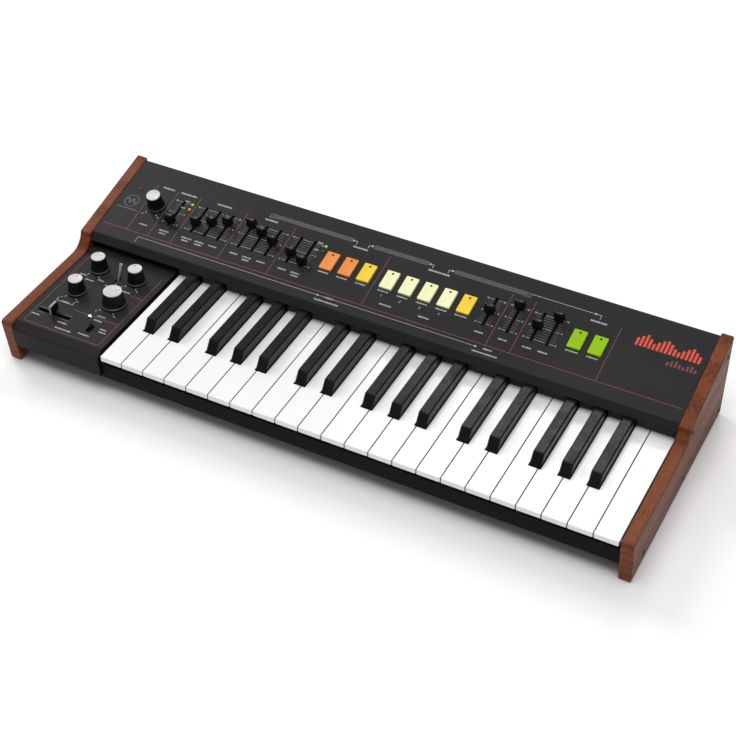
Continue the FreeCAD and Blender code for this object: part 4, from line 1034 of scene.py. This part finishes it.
def feet():
    """Rubber feet, each with a pan-head screw sunk in its middle."""
    for index, points in enumerate(solids("rubber_feet")):
        low, high = corners(points)
        face = Face((*middle_of(low, high), high.z), ACROSS, (0, -1, 0))
        radius, height = (high.x - low.x) / MM / 2, (high.z - low.z) / MM
        mesh = bmesh.new()
        turned(mesh, face, [
            (radius, 0), (radius - 0.1, height - 5.5), (radius - 0.8, height - 0.8),
            (radius - 1.5, height), (4.6, height), (4.2, height - 0.3), (4.0, height - 2.6),
            (0.5, height - 2.6),
        ])
        turned(mesh, face.moved(0, 0, height - 2.7), [
            (3.0, 0), (3.0, 0.5), (2.4, 1.1), (1.2, 1.2), (1.1, 0.4), (0.3, 0.4),
        ], 28, 1)
        piece = finished(f"rubber_foot_{index + 1}", mesh, [rubber, steel], CASE)
        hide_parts("rubber_feet")


def key_slot_felt():
    """A dark felt strip that closes the slot between the keys and the panel's front lip."""
    left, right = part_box("white_key_c3")[0].x / MM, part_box("white_key_c6")[1].x / MM
    white_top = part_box("white_key_c6")[1].z / MM
    sharp_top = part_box("black_key_cs3")[1].z / MM
    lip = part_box("top_panel")[0].z / MM
    start, depth = pod.origin.y / MM + 138.9, 2.6
    gap, side_gap, white_gap = 0.9, 0.8, 1.4
    plan = Face((0, 0, 0), ACROSS, (0, 0, 1))
    mesh = bmesh.new()

    def strip(left, right, low, high):
        outline = rectangle(right - left, high - low, (left + right) / 2, (low + high) / 2)
        prism(mesh, plan, outline, -start, -start - depth)

    strip(left, right, sharp_top + gap, lip + 4.5)
    sharps = [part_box(node) for node in frame["nodes"] if node.startswith("black_key")]
    edges = [left, right]
    for low, high in sharps:
        edges += [low.x / MM - side_gap, high.x / MM + side_gap]
    edges.sort()
    for gap_left, gap_right in zip(edges[::2], edges[1::2]):
        strip(gap_left, gap_right, white_top + white_gap, sharp_top + gap)
    finished("key_slot_felt", mesh, [black_felt], CASE)


def pins(mesh, face, reach, angles, out, profile, count):
    """Brass contacts round a circle."""
    for angle in angles:
        spot = face.moved(*polar(reach, math.radians(angle)), out)
        sleeve(mesh, spot, profile, count, 1)


def jack_parts(mesh, face):
    """Washer, hexagonal nut, bush and contact of an audio jack."""
    bore, bush_radius = 3.3, 4.4
    sleeve(mesh, face, [(bore, 0.05), (7.9, 0.05), (7.9, 0.55), (bore, 0.55)])
    hole, nut, nut_top = circle(bush_radius), hexagon(7.4), hexagon(6.808)
    loft(mesh, [
        ring(face, hole, 0.55), ring(face, nut, 0.55), ring(face, nut, 2.3),
        ring(face, nut_top, 2.6), ring(face, hole, 2.6),
    ], 0, True)
    sleeve(mesh, face, [
        (bore, 0.6), (bush_radius, 0.6), (bush_radius, 3.0), (4.1, 3.3), (3.5, 3.3), (bore, 3.1),
    ], 36)
    sleeve(mesh, face, [(3.24, -9), (4.2, -9), (4.2, -3), (3.24, -3)], 30, 1)


def midi_parts(mesh, face):
    """Rim and five pins of a round socket."""
    sleeve(mesh, face, [(8.9, 0.4), (9.7, 0.4), (9.7, 0.95), (9.3, 1.2), (8.9, 1.1)], 48)
    pin = [(0.45, 0), (0.9, 0), (0.9, 0.5), (0.45, 0.5)]
    pins(mesh, face, 4.7, range(-180, 1, 45), -6.6, pin, 14)


def microphone_parts(mesh, face):
    """Flange, insert and three contacts of the microphone socket."""
    flange = [(9.3, 1.5), (13.4, 1.5), (13.4, 1.9), (12.6, 2.6), (9.9, 2.6), (9.3, 2.2)]
    sleeve(mesh, face, flange, 56)
    turned(mesh, face, [(8.9, -11.4), (8.9, -3.4), (8.5, -3.0), (0.4, -3.0)], 48, 2)
    contact = [(0.9, 0), (1.5, 0), (1.5, 0.3), (0.9, 0.3)]
    pins(mesh, face, 4.4, (90, 210, 330), -3.0, contact, 18)


def power_parts(mesh, face):
    """Centre pin and rim of the power inlet."""
    pin = [(0.3, -10.4), (1.0, -10.4), (1.0, -1.2), (0.7, -0.7), (0.2, -0.6)]
    turned(mesh, face, pin, 20, 1)
    sleeve(mesh, face, [(2.85, 0.9), (5.6, 0.9), (5.6, 1.2), (5.1, 1.5), (2.85, 1.5)])


def rear_details():
    """Metal parts of the rear sockets, from left to right, and the printing over them."""
    parts = {
        "midi": midi_parts, "microphone": microphone_parts, "jack": jack_parts,
        "power": power_parts,
    }
    kinds = ["midi"] * 2 + ["microphone"] + ["jack"] * 4 + ["power"]
    materials = [bright, brass, control_black]
    marks = Print(rear)
    for index, (face, low, high) in enumerate(seats(rear, "rear_sockets")):
        kind = kinds[index]
        mesh = bmesh.new()
        parts[kind](mesh, face)
        finished(f"rear_{kind}_{index + 1}", mesh, materials, CASE)
        across, up = middle_of(low, high)
        marks.words(across, up + 17.0, max(9.0, (high[0] - low[0]) * 0.8), 2.0)
    marks.stroke([(-306, 66), (-306, 70), (40, 70), (40, 66)], 0.4)
    marks.finished("rear_print_white", white_ink)


def dress_cad():
    """Materials for the pieces that keep the CAD's own shapes."""
    looks = {
        "left_cheek": left_wood, "right_cheek": right_wood, "top_panel": paint, "pod_panel": paint,
        "bottom_case": case_paint, "keybed_frame": steel, "circuit_boards": boards,
        "rear_sockets": control_black,
    }
    for node in frame["nodes"]:
        if node.startswith("white_key"):
            looks[node] = white_plastic
        elif node.startswith("black_key"):
            looks[node] = black_plastic
    for node, material in looks.items():
        slots = frame["nodes"][node].data.materials
        slots.clear()
        slots.append(material)


# ---------- stage, light and camera
def floor():
    """A wide pale slab just under the feet."""
    g = Graph("pale_floor")
    clouds = g.patches(g.noise(3.0, 3.0), 0.4)
    g.colour(g.mix(clouds, (0.97, 0.97, 0.97), (0.95, 0.95, 0.95)))
    g.set(Roughness=0.75)
    size, corner, bottom, top = 60000, 1000, -10, -0.05
    mesh = bmesh.new()
    prism(mesh, ground, rounded_box(size, size, corner), bottom, top)
    linked("floor", mesh, [g.material])


def softbox(name, place, aim, size, power):
    """A rectangular area light."""
    data = bpy.data.lights.new(name, "AREA")
    data.shape = "RECTANGLE"
    data.size, data.size_y = size
    data.energy = power
    made = bpy.data.objects.new(name, data)
    made.location = place
    made.rotation_euler = (Vector(aim) - Vector(place)).to_track_quat("-Z", "Y").to_euler()
    scene.collection.objects.link(made)


def lighting():
    """A large soft light overhead and two behind, in a dim white room."""
    world = bpy.data.worlds.new("studio")
    world.use_nodes = True
    background = world.node_tree.nodes["Background"]
    background.inputs["Color"].default_value = (1.0, 1.0, 1.0, 1.0)
    background.inputs["Strength"].default_value = 0.28
    scene.world = world
    softbox("overhead_light", (0.3, -0.9, 4.4), (0, 0, 0), (3.4, 2.8), 128)
    softbox("rear_left_light", (-3.2, 1.6, 3.1), (0, 0, 0.05), (1.6, 1.6), 62)
    softbox("rear_light", (-0.7, 3.2, 3.2), (0, 0, 0.05), (1.6, 1.2), 32)
    scene.view_settings.view_transform = "Standard"
    scene.view_settings.look = "None"


def camera():
    """A long lens that looks down from the front right."""
    azimuth, elevation, roll = map(math.radians, (27.374, 41.13, -0.19))
    distance = 1.83496
    target = Vector((-0.080952, 0.181009, -0.144501))
    back = Vector((
        math.sin(azimuth) * math.cos(elevation),
        -math.cos(azimuth) * math.cos(elevation),
        math.sin(elevation),
    ))
    data = bpy.data.cameras.new("camera")
    data.lens = 81.11
    data.shift_x, data.shift_y = -0.0022, -0.0066
    data.clip_end = 80.0
    made = bpy.data.objects.new("camera", data)
    turn = back.to_track_quat("Z", "Y").to_matrix()
    made.rotation_euler = (turn @ Matrix.Rotation(roll, 3, "Z")).to_euler()
    made.location = target + back * distance
    scene.collection.objects.link(made)
    scene.camera = made


dress_cad()
red_lines()
panel_printing()
pod_printing()
knobs()
faders()
buttons()
lights()
bend_paddle()
pod_lever()
pod_toggle()
screw_heads()
feet()
key_slot_felt()
rear_details()
floor()
lighting()
camera()
